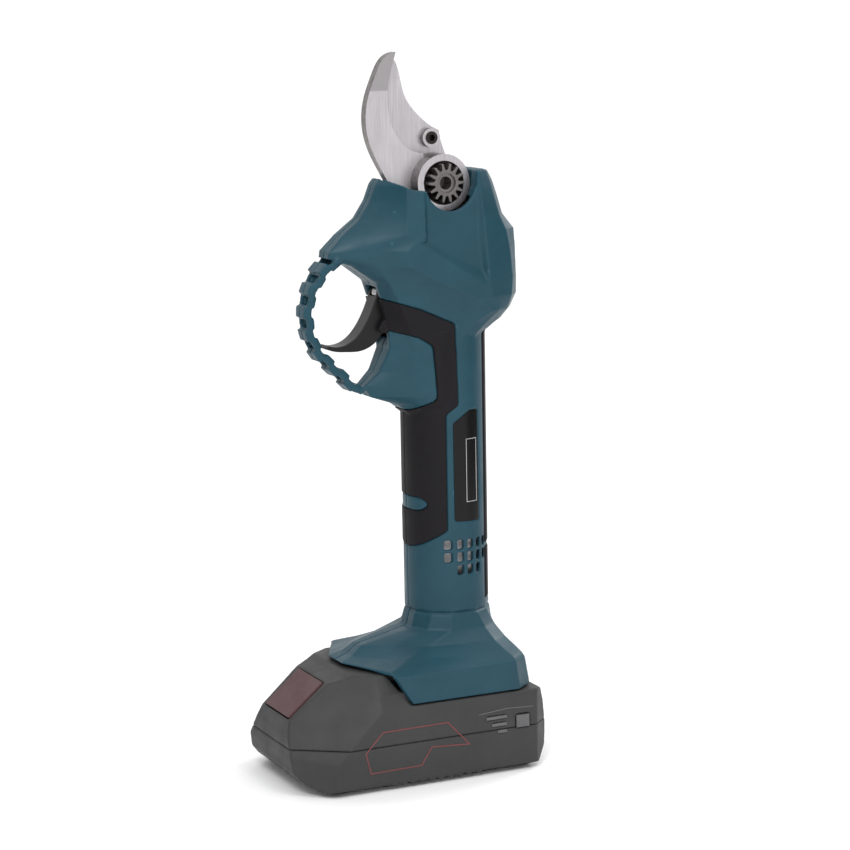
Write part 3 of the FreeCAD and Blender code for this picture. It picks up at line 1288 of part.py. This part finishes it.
def cells():
    return [CELL_FIRST_X + CELL_PITCH * n for n in range(CELL_COUNT)]


def make_cells():
    half = CELL_LEN / 2
    return Part.makeCompound([rod_y(x, CELL_Z, CELL_R, -half, half) for x in cells()])


def make_cell_holder():
    """Frame round both ends of the cells, with a deck above them for the board."""
    low, high = cells()[0] - CELL_R, cells()[-1] + CELL_R
    top = CELL_Z + CELL_R + 1.4
    frame = box(low, high, -30, 30, BAT_WALL + 0.4, top)
    deck = box(BOARD_X[0], BOARD_X[1], -30, 30, top, BOARD_Z[0])
    middle = box(low - 1, high + 1, -22, 22, BAT_WALL, top - 1.4)
    under_deck = box(BOARD_X[0] + 2, BOARD_X[1] - 2, -40, 40, top, BOARD_Z[0] - 1.6)
    frame = fuse([frame, deck]).cut(middle).cut(under_deck)
    return frame.cut(Part.makeCompound([rod_y(x, CELL_Z, CELL_R + RUN, -40, 40) for x in cells()]))


def make_battery_board():
    return box(BOARD_X[0], BOARD_X[1], -BOARD_HALF, BOARD_HALF, BOARD_Z[0], BOARD_Z[1])


def make_battery_clips():
    out = []
    for side in (-1, 1):
        y = side * TERMINAL_Y
        for leaf in (-1, 1):
            y0, y1 = sorted((y + leaf * 0.8, y + leaf * 1.3))
            out.append(box(-8.0, 6.0, y0, y1, BOARD_Z[1], 48.6))
    return Part.makeCompound(out)


def make_gauge_button():
    x, z, hl, hh = GAUGE
    g = 0.25
    face = -BAT_W / 2 - 0.3
    return box(x - hl + g, x + hl - g, face, face + 3.4, z - hh + g, z + hh - g)


def make_led_windows():
    face = -BAT_W / 2
    return Part.makeCompound([box(x0, x1, face, face + 2.0, z - LED_HALF, z + LED_HALF)
                              for x0, x1, z in LEDS])


def spring(centre, axis, radius, wire_r, length, turns):
    """Open coil of round wire, built along +Z and laid on its axis."""
    helix = Part.makeLongHelix(length / turns, length, radius)
    rim = Part.Wire([Part.Circle(V(radius, 0, 0), V(0, 1, 0), wire_r).toShape()])
    coil = Part.Wire(helix).makePipeShell([rim], True, True)
    turn = FreeCAD.Rotation(V(0, 0, 1), axis)
    coil.Placement = FreeCAD.Placement(centre, turn)
    return coil


def make_trigger_spring():
    return spring(V(TRIG_X, -SPRING_W / 2, TRIG_Z), V(0, 1, 0), SPRING_R, 0.4, SPRING_W, 5)


def make_button_spring():
    down = V(math.sin(BUTTON_SLOPE), 0, -math.cos(BUTTON_SLOPE))
    x = (BUTTON[0] + BUTTON[1]) / 2
    start = V(x, 0, nose_z(x)) + down * (BUTTON_DEPTH + BUTTON_WIRE)
    length = BUTTON_TRAVEL + BUTTON_REST - 2 * BUTTON_WIRE
    return spring(start, down, 2.6, BUTTON_WIRE, length, 2)


def build():
    nodes = {}
    casing = make_casing()
    nodes["casing_near"] = main_solid(casing.common(box(-120, 80, -60, 0, 0, 400)))
    nodes["casing_far"] = main_solid(casing.common(box(-120, 80, 0, 60, 0, 400)))
    nodes["grip_near"], nodes["grip_far"], nodes["rear_grip"] = make_grips()
    nodes["labels"] = Part.makeCompound(make_labels())
    nodes["casing_screws"] = make_casing_screws()
    nodes["fixed_blade"] = make_fixed_blade()
    nodes["moving_blade"] = make_moving_blade()
    nodes["blade_screw"] = make_lug_screw()
    nodes["pivot_bolt"] = make_pivot_bolt()
    nodes["pivot_nut"] = make_pivot_nut()
    nodes["nut_washer"] = make_nut_washer()
    nodes["nut_lock_screw"] = make_lock_screw()
    nodes["pivot_bush"] = make_pivot_bush()
    nodes["sector_gear"] = make_sector()
    nodes["sector_pins"] = make_sector_pins()
    nodes["bevel_pinion"] = make_pinion()
    nodes["carrier_2"] = make_carrier(1)
    nodes["carrier_1"] = make_first_carrier()
    nodes["sun_gear"] = make_motor_sun()
    for n in range(PLANETS):
        nodes["planet_1_%d" % (n + 1)] = make_planet(0, n)
        nodes["planet_2_%d" % (n + 1)] = make_planet(1, n)
    nodes["ring_gear"] = make_ring_gear()
    nodes["gearbox_cover"] = make_gearbox_cover()
    nodes["blade_mount_screws"] = make_mount_screws()
    nodes["bearings"] = Part.makeCompound([make_output_bearing(), make_front_bearing(),
                                           make_rear_bearing()])
    nodes["motor_plate"] = make_motor_plate()
    nodes["motor_can"] = make_motor_can()
    nodes["motor_magnets"] = make_magnets()
    nodes["motor_end_cap"] = make_motor_end_cap()
    nodes["motor_rotor"] = Part.makeCompound([make_rotor()] + make_windings())
    nodes["motor_shaft"] = make_motor_shaft()
    nodes["trigger"] = make_trigger()
    nodes["trigger_boot"] = make_trigger_boot()
    nodes["trigger_pin"] = make_trigger_pin()
    nodes["trigger_spring"] = make_trigger_spring()
    nodes["trigger_sensor"] = make_trigger_sensor()
    nodes["controller_board"] = make_controller_board()
    nodes["heat_sink"] = make_heat_sink()
    nodes["board_parts"] = Part.makeCompound(make_capacitors() + [make_connector()])
    nodes["motor_leads"] = Part.makeCompound([motor_lead(0), motor_lead(1)])
    nodes["battery_leads"] = Part.makeCompound([battery_lead(0), battery_lead(1)])
    nodes["terminal_block"] = make_terminal_block()
    nodes["blade_contacts"] = make_blade_contacts()
    nodes["battery_lower_case"], nodes["battery_upper_case"] = make_battery_cases()
    nodes["battery_screws"] = make_battery_screws()
    nodes["release_button"] = make_release_button()
    nodes["button_spring"] = make_button_spring()
    nodes["battery_cells"] = make_cells()
    nodes["cell_holder"] = make_cell_holder()
    nodes["battery_board"] = make_battery_board()
    nodes["battery_clips"] = make_battery_clips()
    nodes["gauge_button"] = make_gauge_button()
    nodes["led_windows"] = make_led_windows()
    return nodes


def main():
    os.makedirs("parts", exist_ok=True)
    for name, shape in build().items():
        if not shape.isValid():
            print("not valid:", name)
        shape.exportStep("parts/%s.step" % name)
        print("%-20s %8.1f mm3, %d solids" % (name, shape.Volume, len(shape.Solids)))


main()
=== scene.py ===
import math
import bpy
import bmesh
from mathutils import Matrix, Vector


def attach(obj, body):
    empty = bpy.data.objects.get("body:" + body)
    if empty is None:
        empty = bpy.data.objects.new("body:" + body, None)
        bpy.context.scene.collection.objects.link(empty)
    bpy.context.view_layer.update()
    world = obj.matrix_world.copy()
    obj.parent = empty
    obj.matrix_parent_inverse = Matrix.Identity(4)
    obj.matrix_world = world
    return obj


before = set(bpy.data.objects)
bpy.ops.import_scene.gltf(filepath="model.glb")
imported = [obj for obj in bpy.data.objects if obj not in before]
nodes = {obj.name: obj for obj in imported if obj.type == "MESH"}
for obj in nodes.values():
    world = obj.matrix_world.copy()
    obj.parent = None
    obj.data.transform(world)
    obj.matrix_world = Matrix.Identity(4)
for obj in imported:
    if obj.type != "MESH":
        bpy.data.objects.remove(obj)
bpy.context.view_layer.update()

mm = 0.001
print("frame loaded:", len(nodes), "parts")


# studio: camera, lamps, white floor and sky

studio = {
    "azimuth": 25.0,        # degrees towards the trigger side
    "elevation": 9.8,
    "roll": -1.0,
    "distance": 1.2,
    "lens": 109.8,
    "lookAt": (-0.009, 0.0, 0.1595),
    "floorColor": (0.97, 0.97, 0.97),
    "floorSize": 12.0,
    "skyHigh": (1.0, 1.0, 1.0),
    "skyStrength": 1.08,
    "lamps": [              # name, place, size, watts
        ("keyLamp", (-0.55, -0.75, 0.95), 0.35, 4.5),
        ("rimLamp", (0.9, 0.25, 0.65), 0.30, 3.0),
        ("headLamp", (0.15, -0.65, 1.05), 0.25, 1.6),
    ],
    "cards": [              # dark card out of view: name, place, width, height
        ("leftCard", (-0.62, 0.12, 0.2), 0.5, 0.9),
        ("rightCard", (0.62, -0.30, 0.2), 0.5, 0.9),
    ],
    "cardColor": (0.02, 0.02, 0.02),
}


def aimAt(thing, target):
    thing.rotation_euler = (Vector(target) - thing.location).to_track_quat("-Z", "Y").to_euler()


def matteFill(name, color):
    paint = bpy.data.materials.new(name)
    paint.use_nodes = True
    shader = paint.node_tree.nodes["Principled BSDF"]
    shader.inputs["Base Color"].default_value = (*color, 1)
    shader.inputs["Roughness"].default_value = 0.9
    shader.inputs["Specular IOR Level"].default_value = 0.0
    return paint


def flatPanel(name, width, height, paint):
    mesh = bpy.data.meshes.new(name)
    w, h = width / 2, height / 2
    mesh.from_pydata([(-w, -h, 0), (w, -h, 0), (w, h, 0), (-w, h, 0)], [], [(0, 1, 2, 3)])
    mesh.materials.append(paint)
    panel = bpy.data.objects.new(name, mesh)
    bpy.context.scene.collection.objects.link(panel)
    return panel


def makeCamera(scene):
    a, e = math.radians(studio["azimuth"]), math.radians(studio["elevation"])
    toCamera = Vector((-math.sin(a) * math.cos(e), -math.cos(a) * math.cos(e), math.sin(e)))
    lens = bpy.data.cameras.new("camera")
    lens.lens = studio["lens"]
    lens.sensor_width = 36.0
    camera = bpy.data.objects.new("camera", lens)
    scene.collection.objects.link(camera)
    camera.location = Vector(studio["lookAt"]) + toCamera * studio["distance"]
    turn = (-toCamera).to_track_quat("-Z", "Y").to_matrix()
    turn = turn @ Matrix.Rotation(math.radians(studio["roll"]), 3, "Z")
    camera.rotation_euler = turn.to_euler()
    scene.camera = camera


def makeStudio():
    scene = bpy.context.scene
    scene.view_settings.view_transform = "Standard"
    makeCamera(scene)
    for name, place, size, watts in studio["lamps"]:
        light = bpy.data.lights.new(name, "AREA")
        light.shape = "DISK"
        light.size = size
        light.energy = watts
        lamp = bpy.data.objects.new(name, light)
        lamp.location = place
        scene.collection.objects.link(lamp)
        aimAt(lamp, (0, 0, 0.17))
    world = bpy.data.worlds.new("sky")
    world.use_nodes = True
    back = world.node_tree.nodes["Background"]
    back.inputs["Color"].default_value = (*studio["skyHigh"], 1)
    back.inputs["Strength"].default_value = studio["skyStrength"]
    scene.world = world
    size = studio["floorSize"]
    floor = flatPanel("floor", size, size, matteFill("floorPaint", studio["floorColor"]))
    cardPaint = matteFill("cardPaint", studio["cardColor"])
    for name, place, width, height in studio["cards"]:
        card = flatPanel(name, width, height, cardPaint)
        card.location = place
        aimAt(card, (0, 0, place[2]))
        card.visible_camera = False


makeStudio()
print("studio ready")


# paint kit: short ways to string shader nodes together


def newPaint(name):
    paint = bpy.data.materials.new(name)
    paint.use_nodes = True
    tree = paint.node_tree
    return paint, tree, tree.nodes["Principled BSDF"]


def place(tree, scale=(1, 1, 1)):
    coords = tree.nodes.new("ShaderNodeTexCoord")
    mapping = tree.nodes.new("ShaderNodeMapping")
    mapping.inputs["Scale"].default_value = scale
    tree.links.new(coords.outputs["Object"], mapping.inputs["Vector"])
    return mapping.outputs["Vector"]


def noise(tree, vector, scale, detail=3.0, rough=0.5):
    node = tree.nodes.new("ShaderNodeTexNoise")
    node.inputs["Scale"].default_value = scale
    node.inputs["Detail"].default_value = detail
    node.inputs["Roughness"].default_value = rough
    tree.links.new(vector, node.inputs["Vector"])
    return node.outputs["Fac"]


def cells(tree, vector, scale, feature="F1"):
    node = tree.nodes.new("ShaderNodeTexVoronoi")
    node.feature = feature
    node.inputs["Scale"].default_value = scale
    tree.links.new(vector, node.inputs["Vector"])
    return node.outputs["Distance"]


def steps(tree, value, low, high, fromLow=0.35, fromHigh=0.65):
    node = tree.nodes.new("ShaderNodeMapRange")
    node.inputs["From Min"].default_value = fromLow
    node.inputs["From Max"].default_value = fromHigh
    node.inputs["To Min"].default_value = low
    node.inputs["To Max"].default_value = high
    tree.links.new(value, node.inputs["Value"])
    return node.outputs["Result"]


def combine(tree, operation, a, b):
    node = tree.nodes.new("ShaderNodeMath")
    node.operation = operation
    for socket, value in zip(node.inputs, (a, b)):
        if isinstance(value, (int, float)):
            socket.default_value = value
        else:
            tree.links.new(value, socket)
    return node.outputs["Value"]


def blendColors(tree, factor, a, b):
    node = tree.nodes.new("ShaderNodeMix")
    node.data_type = "RGBA"
    tree.links.new(factor, node.inputs["Factor"])
    for socket, value in ((node.inputs[6], a), (node.inputs[7], b)):
        if isinstance(value, tuple):
            socket.default_value = (*value, 1)
        else:
            tree.links.new(value, socket)
    return node.outputs[2]


def relief(tree, shader, heights):
    normal = None
    for height, strength, distance in heights:
        node = tree.nodes.new("ShaderNodeBump")
        node.inputs["Strength"].default_value = strength
        node.inputs["Distance"].default_value = distance
        tree.links.new(height, node.inputs["Height"])
        if normal:
            tree.links.new(normal, node.inputs["Normal"])
        normal = node.outputs["Normal"]
    tree.links.new(normal, shader.inputs["Normal"])


def edges(tree):
    return tree.nodes.new("ShaderNodeNewGeometry").outputs["Pointiness"]


def shade(color, factor):
    return tuple(min(1.0, c * factor) for c in color)


# moulded plastic: fine spark-eroded grain, soft patches of gloss, paler worn edges

plastics = {                # colour, roughness low and high, grain size, worn edge gain
    "tealShell": ((0.0125, 0.052, 0.074), 0.36, 0.50, 2600, 1.9),
    "batteryShell": ((0.040, 0.040, 0.041), 0.48, 0.62, 2200, 1.35),
    "buttonPlastic": ((0.080, 0.038, 0.041), 0.42, 0.55, 2600, 1.3),
    "triggerPlastic": ((0.0085, 0.008, 0.008), 0.32, 0.44, 2600, 2.4),
    "innerPlastic": ((0.010, 0.010, 0.011), 0.45, 0.60, 1800, 1.4),
}


def mouldedPlastic(name):
    color, roughLow, roughHigh, grainSize, wornGain = plastics[name]
    paint, tree, shader = newPaint(name)
    spot = place(tree)
    patches = noise(tree, spot, 38, 4.0, 0.6)
    grain = noise(tree, spot, grainSize, 2.0, 0.6)
    pits = cells(tree, spot, grainSize * 0.45)
    worn = steps(tree, edges(tree), 0.0, 1.0, 0.53, 0.60)
    scuffed = combine(tree, "MULTIPLY", worn, steps(tree, noise(tree, spot, 160, 5.0, 0.7), 0.25, 1.0))
    base = blendColors(tree, steps(tree, patches, 0, 1), shade(color, 0.92), shade(color, 1.10))
    speckled = blendColors(tree, steps(tree, grain, 0, 0.35, 0.4, 0.75), base, shade(color, 1.35))
    finish = blendColors(tree, scuffed, speckled, shade(color, wornGain))
    tree.links.new(finish, shader.inputs["Base Color"])
    gloss = steps(tree, noise(tree, spot, 90, 5.0, 0.65), roughLow, roughHigh)
    tree.links.new(gloss, shader.inputs["Roughness"])
    shader.inputs["Specular IOR Level"].default_value = 0.22
    relief(tree, shader, [(grain, 0.35, 0.00006), (pits, 0.22, 0.00005), (patches, 0.10, 0.0004)])
    return paint


# soft grip: matt elastomer with a leather-like cell grain and a dusty bloom

softGripLook = {
    "color": (0.0070, 0.0060, 0.0074),
    "bloom": (0.022, 0.020, 0.022),
    "cellSize": 1150,
    "roughness": (0.56, 0.74),
}


def softGrip():
    paint, tree, shader = newPaint("softGrip")
    look = softGripLook
    spot = place(tree)
    grainCells = cells(tree, spot, look["cellSize"], "DISTANCE_TO_EDGE")
    fine = noise(tree, spot, 4200, 2.0, 0.6)
    dust = steps(tree, noise(tree, spot, 60, 6.0, 0.7), 0.0, 0.55, 0.42, 0.75)
    worn = steps(tree, edges(tree), 0.0, 0.8, 0.53, 0.62)
    base = blendColors(tree, dust, look["color"], shade(look["color"], 1.9))
    tree.links.new(blendColors(tree, worn, base, look["bloom"]), shader.inputs["Base Color"])
    tree.links.new(steps(tree, dust, *look["roughness"], 0.0, 0.5), shader.inputs["Roughness"])
    shader.inputs["Sheen Weight"].default_value = 0.02
    shader.inputs["Sheen Roughness"].default_value = 0.4
    shader.inputs["Specular IOR Level"].default_value = 0.16
    relief(tree, shader, [(grainCells, 0.40, 0.00008), (fine, 0.25, 0.00003)])
    return paint


# metals: colour, metal amount, roughness low and high, brush stretch, scratch depth

metals = {
    "blackSteel": ((0.024, 0.021, 0.020), 0.85, 0.32, 0.50, (1.0, 1.0, 1.0), 0.14),
    "zincSteel": ((0.36, 0.35, 0.34), 1.0, 0.28, 0.42, (1.0, 1.0, 1.0), 0.10),
    "sinteredSteel": ((0.19, 0.178, 0.176), 0.95, 0.36, 0.55, (1.0, 1.0, 1.0), 0.30),
    "gearSteel": ((0.50, 0.50, 0.51), 1.0, 0.22, 0.38, (1.0, 1.0, 0.2), 0.12),
    "bearingBronze": ((0.60, 0.38, 0.17), 1.0, 0.30, 0.45, (1.0, 1.0, 0.3), 0.12),
    "castAlloy": ((0.40, 0.40, 0.41), 1.0, 0.30, 0.48, (1.0, 1.0, 1.0), 0.25),
    "darkMagnet": ((0.10, 0.10, 0.11), 0.9, 0.35, 0.5, (1.0, 1.0, 1.0), 0.15),
    "contactCopper": ((0.72, 0.40, 0.22), 1.0, 0.22, 0.36, (1.0, 0.2, 1.0), 0.12),
    "cellSleeve": ((0.12, 0.27, 0.42), 0.1, 0.25, 0.35, (1.0, 0.3, 1.0), 0.08),
}


def metal(name):
    color, amount, roughLow, roughHigh, stretch, scratch = metals[name]
    paint, tree, shader = newPaint(name)
    spot = place(tree, stretch)
    brush = noise(tree, spot, 2600, 3.0, 0.6)
    broad = noise(tree, place(tree), 70, 5.0, 0.6)
    pits = cells(tree, place(tree), 900)
    worn = steps(tree, edges(tree), 0.0, 0.7, 0.52, 0.60)
    base = blendColors(tree, steps(tree, broad, 0, 1), shade(color, 0.86), shade(color, 1.08))
    streaked = blendColors(tree, steps(tree, brush, 0, 0.5), base, shade(color, 0.72))
    tree.links.new(blendColors(tree, worn, streaked, shade(color, 1.5)), shader.inputs["Base Color"])
    shader.inputs["Metallic"].default_value = amount
    gloss = combine(tree, "ADD", steps(tree, broad, roughLow, roughHigh), steps(tree, brush, -0.04, 0.05))
    tree.links.new(gloss, shader.inputs["Roughness"])
    relief(tree, shader, [(brush, scratch, 0.00004), (pits, scratch * 0.5, 0.00003)])
    return paint


# fixed blade: ground flanks, dark unground rim, hardened tip a shade darker

hookLook = {
    "ground": (0.60, 0.575, 0.60),
    "rim": (0.13, 0.12, 0.12),
    "tip": (0.34, 0.325, 0.335),
    "tipFrom": 0.3135,      # height where the hardened tip starts
    "tipBlend": 0.0008,
}


def bladeSteel(name, withTip):
    look = hookLook
    paint, tree, shader = newPaint(name)
    fineBrush = noise(tree, place(tree, (1.0, 1.0, 0.02)), 2400, 3.0, 0.6)
    broad = noise(tree, place(tree, (1.0, 1.0, 0.35)), 120, 5.0, 0.6)
    geometry = tree.nodes.new("ShaderNodeNewGeometry")
    parts = tree.nodes.new("ShaderNodeSeparateXYZ")
    tree.links.new(geometry.outputs["Normal"], parts.inputs["Vector"])
    flank = combine(tree, "ABSOLUTE", parts.outputs["Y"], 0.0)
    onRim = steps(tree, flank, 1.0, 0.0, 0.45, 0.75)
    ground = look["ground"]
    base = blendColors(tree, steps(tree, broad, 0, 1), shade(ground, 0.86), shade(ground, 1.05))
    streaked = blendColors(tree, steps(tree, fineBrush, 0, 0.6), base, shade(ground, 0.74))
    if withTip:
        heights = tree.nodes.new("ShaderNodeSeparateXYZ")
        tree.links.new(place(tree), heights.inputs["Vector"])
        low, high = look["tipFrom"], look["tipFrom"] + look["tipBlend"]
        onTip = steps(tree, heights.outputs["Z"], 0.0, 0.85, low, high)
        streaked = blendColors(tree, onTip, streaked, look["tip"])
    rimGrain = steps(tree, noise(tree, place(tree), 420, 5.0, 0.7), 0, 1)
    rimSpots = blendColors(tree, rimGrain, look["rim"], shade(look["rim"], 2.0))
    tree.links.new(blendColors(tree, onRim, streaked, rimSpots), shader.inputs["Base Color"])
    shader.inputs["Metallic"].default_value = 0.92
    shader.inputs["Anisotropic"].default_value = 0.35
    gloss = combine(tree, "ADD", steps(tree, broad, 0.30, 0.42), steps(tree, fineBrush, -0.04, 0.06))
    tree.links.new(gloss, shader.inputs["Roughness"])
    relief(tree, shader, [(fineBrush, 0.16, 0.00004), (broad, 0.06, 0.0003)])
    return paint


# name plate: smoked face with a faint woven ground, nothing written on it

plateLook = {
    "ground": (0.0035, 0.0035, 0.0038),
    "weave": (0.0085, 0.0085, 0.0090),
    "weavePitch": 620.0,
}


def namePlate():
    look = plateLook
    paint, tree, shader = newPaint("namePlate")
    wave = tree.nodes.new("ShaderNodeTexWave")
    wave.bands_direction = "DIAGONAL"
    wave.inputs["Scale"].default_value = look["weavePitch"]
    tree.links.new(place(tree), wave.inputs["Vector"])
    flecks = noise(tree, place(tree), 3000, 2.0, 0.6)
    lines = steps(tree, wave.outputs["Fac"], 0.0, 1.0, 0.3, 0.9)
    base = blendColors(tree, lines, look["ground"], look["weave"])
    fleck = steps(tree, flecks, 0, 0.4, 0.5, 0.8)
    flecked = blendColors(tree, fleck, base, shade(look["weave"], 1.6))
    tree.links.new(flecked, shader.inputs["Base Color"])
    tree.links.new(steps(tree, flecks, 0.20, 0.30), shader.inputs["Roughness"])
    shader.inputs["Coat Weight"].default_value = 0.06
    shader.inputs["Specular IOR Level"].default_value = 0.15
    shader.inputs["Coat Roughness"].default_value = 0.12
    relief(tree, shader, [(wave.outputs["Fac"], 0.12, 0.00003), (flecks, 0.06, 0.00002)])
    return paint


# printed and moulded accents, boards, leads, lenses: colour, roughness, grain

smallFinishes = {
    "plateInk": ((0.42, 0.42, 0.43), 0.35, 2400),
    "accentInk": ((0.13, 0.030, 0.030), 0.50, 2200),
    "gaugeInk": ((0.095, 0.090, 0.092), 0.50, 2200),
    "boardLacquer": ((0.016, 0.13, 0.060), 0.30, 900),
    "leadSleeve": ((0.26, 0.020, 0.018), 0.50, 1500),
    "gaugeLens": ((0.085, 0.085, 0.088), 0.24, 1800),
}


def smallFinish(name):
    color, roughness, grainSize = smallFinishes[name]
    paint, tree, shader = newPaint(name)
    grain = noise(tree, place(tree), grainSize, 3.0, 0.6)
    broad = noise(tree, place(tree), 120, 4.0, 0.6)
    base = blendColors(tree, steps(tree, broad, 0, 1), shade(color, 0.85), shade(color, 1.12))
    grained = blendColors(tree, steps(tree, grain, 0, 0.4), base, shade(color, 1.3))
    tree.links.new(grained, shader.inputs["Base Color"])
    tree.links.new(steps(tree, grain, roughness * 0.85, roughness * 1.2), shader.inputs["Roughness"])
    relief(tree, shader, [(grain, 0.15, 0.00004)])
    return paint


paints = {name: mouldedPlastic(name) for name in plastics}
paints.update({name: metal(name) for name in metals})
paints.update({name: smallFinish(name) for name in smallFinishes})
paints["softGrip"] = softGrip()
paints["hookSteel"] = bladeSteel("hookSteel", True)
paints["cutterSteel"] = bladeSteel("cutterSteel", False)
paints["namePlate"] = namePlate()
print("paints mixed:", len(paints))

finishes = {                # paint for each part of the frame
    "tealShell": ["casing_near", "casing_far"],
    "softGrip": ["grip_near", "grip_far", "rear_grip", "trigger_boot"],
    "namePlate": ["labels"],
    "zincSteel": ["casing_screws"],
    "hookSteel": ["fixed_blade"],
    "cutterSteel": ["moving_blade"],
    "blackSteel": ["blade_screw", "nut_washer", "nut_lock_screw", "blade_mount_screws",
                   "battery_screws"],
    "sinteredSteel": ["pivot_nut", "pivot_bolt"],
    "bearingBronze": ["pivot_bush"],
    "gearSteel": ["sector_gear", "sector_pins", "bevel_pinion", "carrier_1", "carrier_2",
                  "sun_gear", "ring_gear", "planet_1_1", "planet_1_2", "planet_1_3",
                  "planet_2_1", "planet_2_2", "planet_2_3", "bearings", "motor_can",
                  "motor_shaft", "trigger_pin", "trigger_spring", "button_spring"],
    "castAlloy": ["gearbox_cover", "motor_plate", "heat_sink"],
    "darkMagnet": ["motor_magnets"],
    "contactCopper": ["motor_rotor", "blade_contacts", "battery_clips"],
    "innerPlastic": ["motor_end_cap", "terminal_block", "board_parts", "cell_holder"],
    "triggerPlastic": ["trigger"],
    "boardLacquer": ["trigger_sensor", "controller_board", "battery_board"],
    "leadSleeve": ["motor_leads", "battery_leads"],
    "batteryShell": ["battery_lower_case", "battery_upper_case"],
    "buttonPlastic": ["release_button"],
    "gaugeLens": ["led_windows", "gauge_button"],
    "cellSleeve": ["battery_cells"],
}


def paintParts():
    for paintName, members in finishes.items():
        for member in members:
            part = nodes[member]
            if not part.material_slots:
                part.data.materials.append(paints[paintName])
            for materialSlot in part.material_slots:
                materialSlot.material = paints[paintName]


paintParts()
print("parts painted")


# moulded parts get rounded edges

moulded = {                 # grid size, passes of smoothing, share of faces kept
    "casing_near": (0.50, 5, 0.62),
    "casing_far": (0.50, 5, 0.62),
    "grip_near": (0.38, 5, 0.70),
    "grip_far": (0.38, 5, 0.70),
    "rear_grip": (0.35, 4, 0.80),
    "trigger": (0.30, 5, 0.9),
    "trigger_boot": (0.30, 3, 1.0),
    "battery_upper_case": (0.55, 9, 0.80),
    "battery_lower_case": (0.55, 7, 0.80),
    "release_button": (0.30, 6, 0.8),
    "gauge_button": (0.16, 4, 1.0),
    "pivot_nut": (0.16, 3, 1.0),
}


def roundEdges():
    for name, (grid, passes, kept) in moulded.items():
        part = nodes[name]
        remesh = part.modifiers.new("grid", "REMESH")
        remesh.mode = "VOXEL"
        remesh.voxel_size = grid * mm
        remesh.use_smooth_shade = True
        smooth = part.modifiers.new("round", "SMOOTH")
        smooth.factor = 0.5
        smooth.iterations = passes
        if kept < 1.0:
            thin = part.modifiers.new("thin", "DECIMATE")
            thin.ratio = kept


roundEdges()
print("moulded edges rounded")


# printed and inlaid lines on the handle's plate and the battery's sides

lineWork = {                # body, paint, slot, width, height, both sides, closed, (x, z) points
    "plateFrame": ("tool", "plateInk", "label", 0.26, 0.12, True, True,
                   [(2.6, 125.5), (2.6, 154.8), (8.2, 154.8), (8.2, 125.5)]),
    "batteryOutline": ("battery", "accentInk", "battery_plastic", 0.62, 0.20, True, True,
                       [(-59.3, 19.2), (-50.7, 28.1), (-18.2, 28.3), (-7.4, 16.6), (-26.5, 17.9),
                        (-31.8, 10.0), (-57.0, 9.6)]),
    "gaugeLine": ("battery", "gaugeInk", "battery_plastic", 0.40, 0.18, False, False,
                  [(-2.6, 29.6), (12.1, 30.8), (25.6, 30.1)]),
}
lineStep = 1.0              # longest straight piece of a line that follows a round surface
handle = {"centre": 0.3, "radius": 19.6}
batterySide = 39.0


# how far from the middle plane the tool's or the battery's skin is at x
def sideDepth(body, x):
    if body == "battery":
        return batterySide
    return math.sqrt(handle["radius"] ** 2 - (x - handle["centre"]) ** 2)


def finePoints(points, closed, step):
    ends = points[1:] + points[:1] if closed else points[1:]
    fine = []
    for (x0, z0), (x1, z1) in zip(points, ends):
        count = max(1, math.ceil(math.hypot(x1 - x0, z1 - z0) / step))
        fine += [(x0 + (x1 - x0) * n / count, z0 + (z1 - z0) * n / count) for n in range(count)]
    return fine if closed else fine + [points[-1]]


# cross-sections, in millimetres, of a low ridge that follows the points on the skin
def lineRows(points, closed, width, height, body, side):
    count = len(points)
    rows = []
    for n, (x, z) in enumerate(points):
        here = Vector((x, z))
        last = Vector(points[n - 1]) if closed or n else here
        ahead = Vector(points[(n + 1) % count]) if closed or n < count - 1 else here
        legs = [leg.normalized() for leg in (here - last, ahead - here) if leg.length > 0]
        run = (legs[0] + legs[-1]).normalized()
        reach = width / 2 / max(0.45, run.dot(legs[0]))
        across = Vector((-run.y, run.x)) * reach
        row = []
        for share, lift in ((-1, -0.1), (-1, height * 0.6), (-0.6, height), (0.6, height),
                            (1, height * 0.6), (1, -0.1)):
            spot = here + across * share
            row.append((spot.x, side * (sideDepth(body, spot.x) + lift), spot.y))
        rows.append(row)
    return rows


def ridgePiece(name, rows, closed, paint):
    mesh = bmesh.new()
    rings = [[mesh.verts.new(Vector(point) * mm) for point in row] for row in rows]
    ahead = rings[1:] + rings[:1] if closed else rings[1:]
    for ring, following in zip(rings, ahead):
        for n in range(len(ring)):
            m = (n + 1) % len(ring)
            mesh.faces.new((ring[n], ring[m], following[m], following[n]))
    if not closed:
        mesh.faces.new(rings[0])
        mesh.faces.new(rings[-1])
    bmesh.ops.recalc_face_normals(mesh, faces=mesh.faces)
    data = bpy.data.meshes.new(name)
    mesh.to_mesh(data)
    mesh.free()
    data.materials.append(paints[paint])
    piece = bpy.data.objects.new(name, data)
    bpy.context.scene.collection.objects.link(piece)
    return piece


def makeLines():
    for name, (body, paint, slot, width, height, both, closed, points) in lineWork.items():
        fine = finePoints(points, closed, lineStep)
        for side, tag in ((-1, "Near"), (1, "Far")) if both else ((-1, ""),):
            rows = lineRows(fine, closed, width, height, body, side)
            piece = ridgePiece(name + tag, rows, closed, paint)
            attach(piece, body)


makeLines()
print("lines laid")
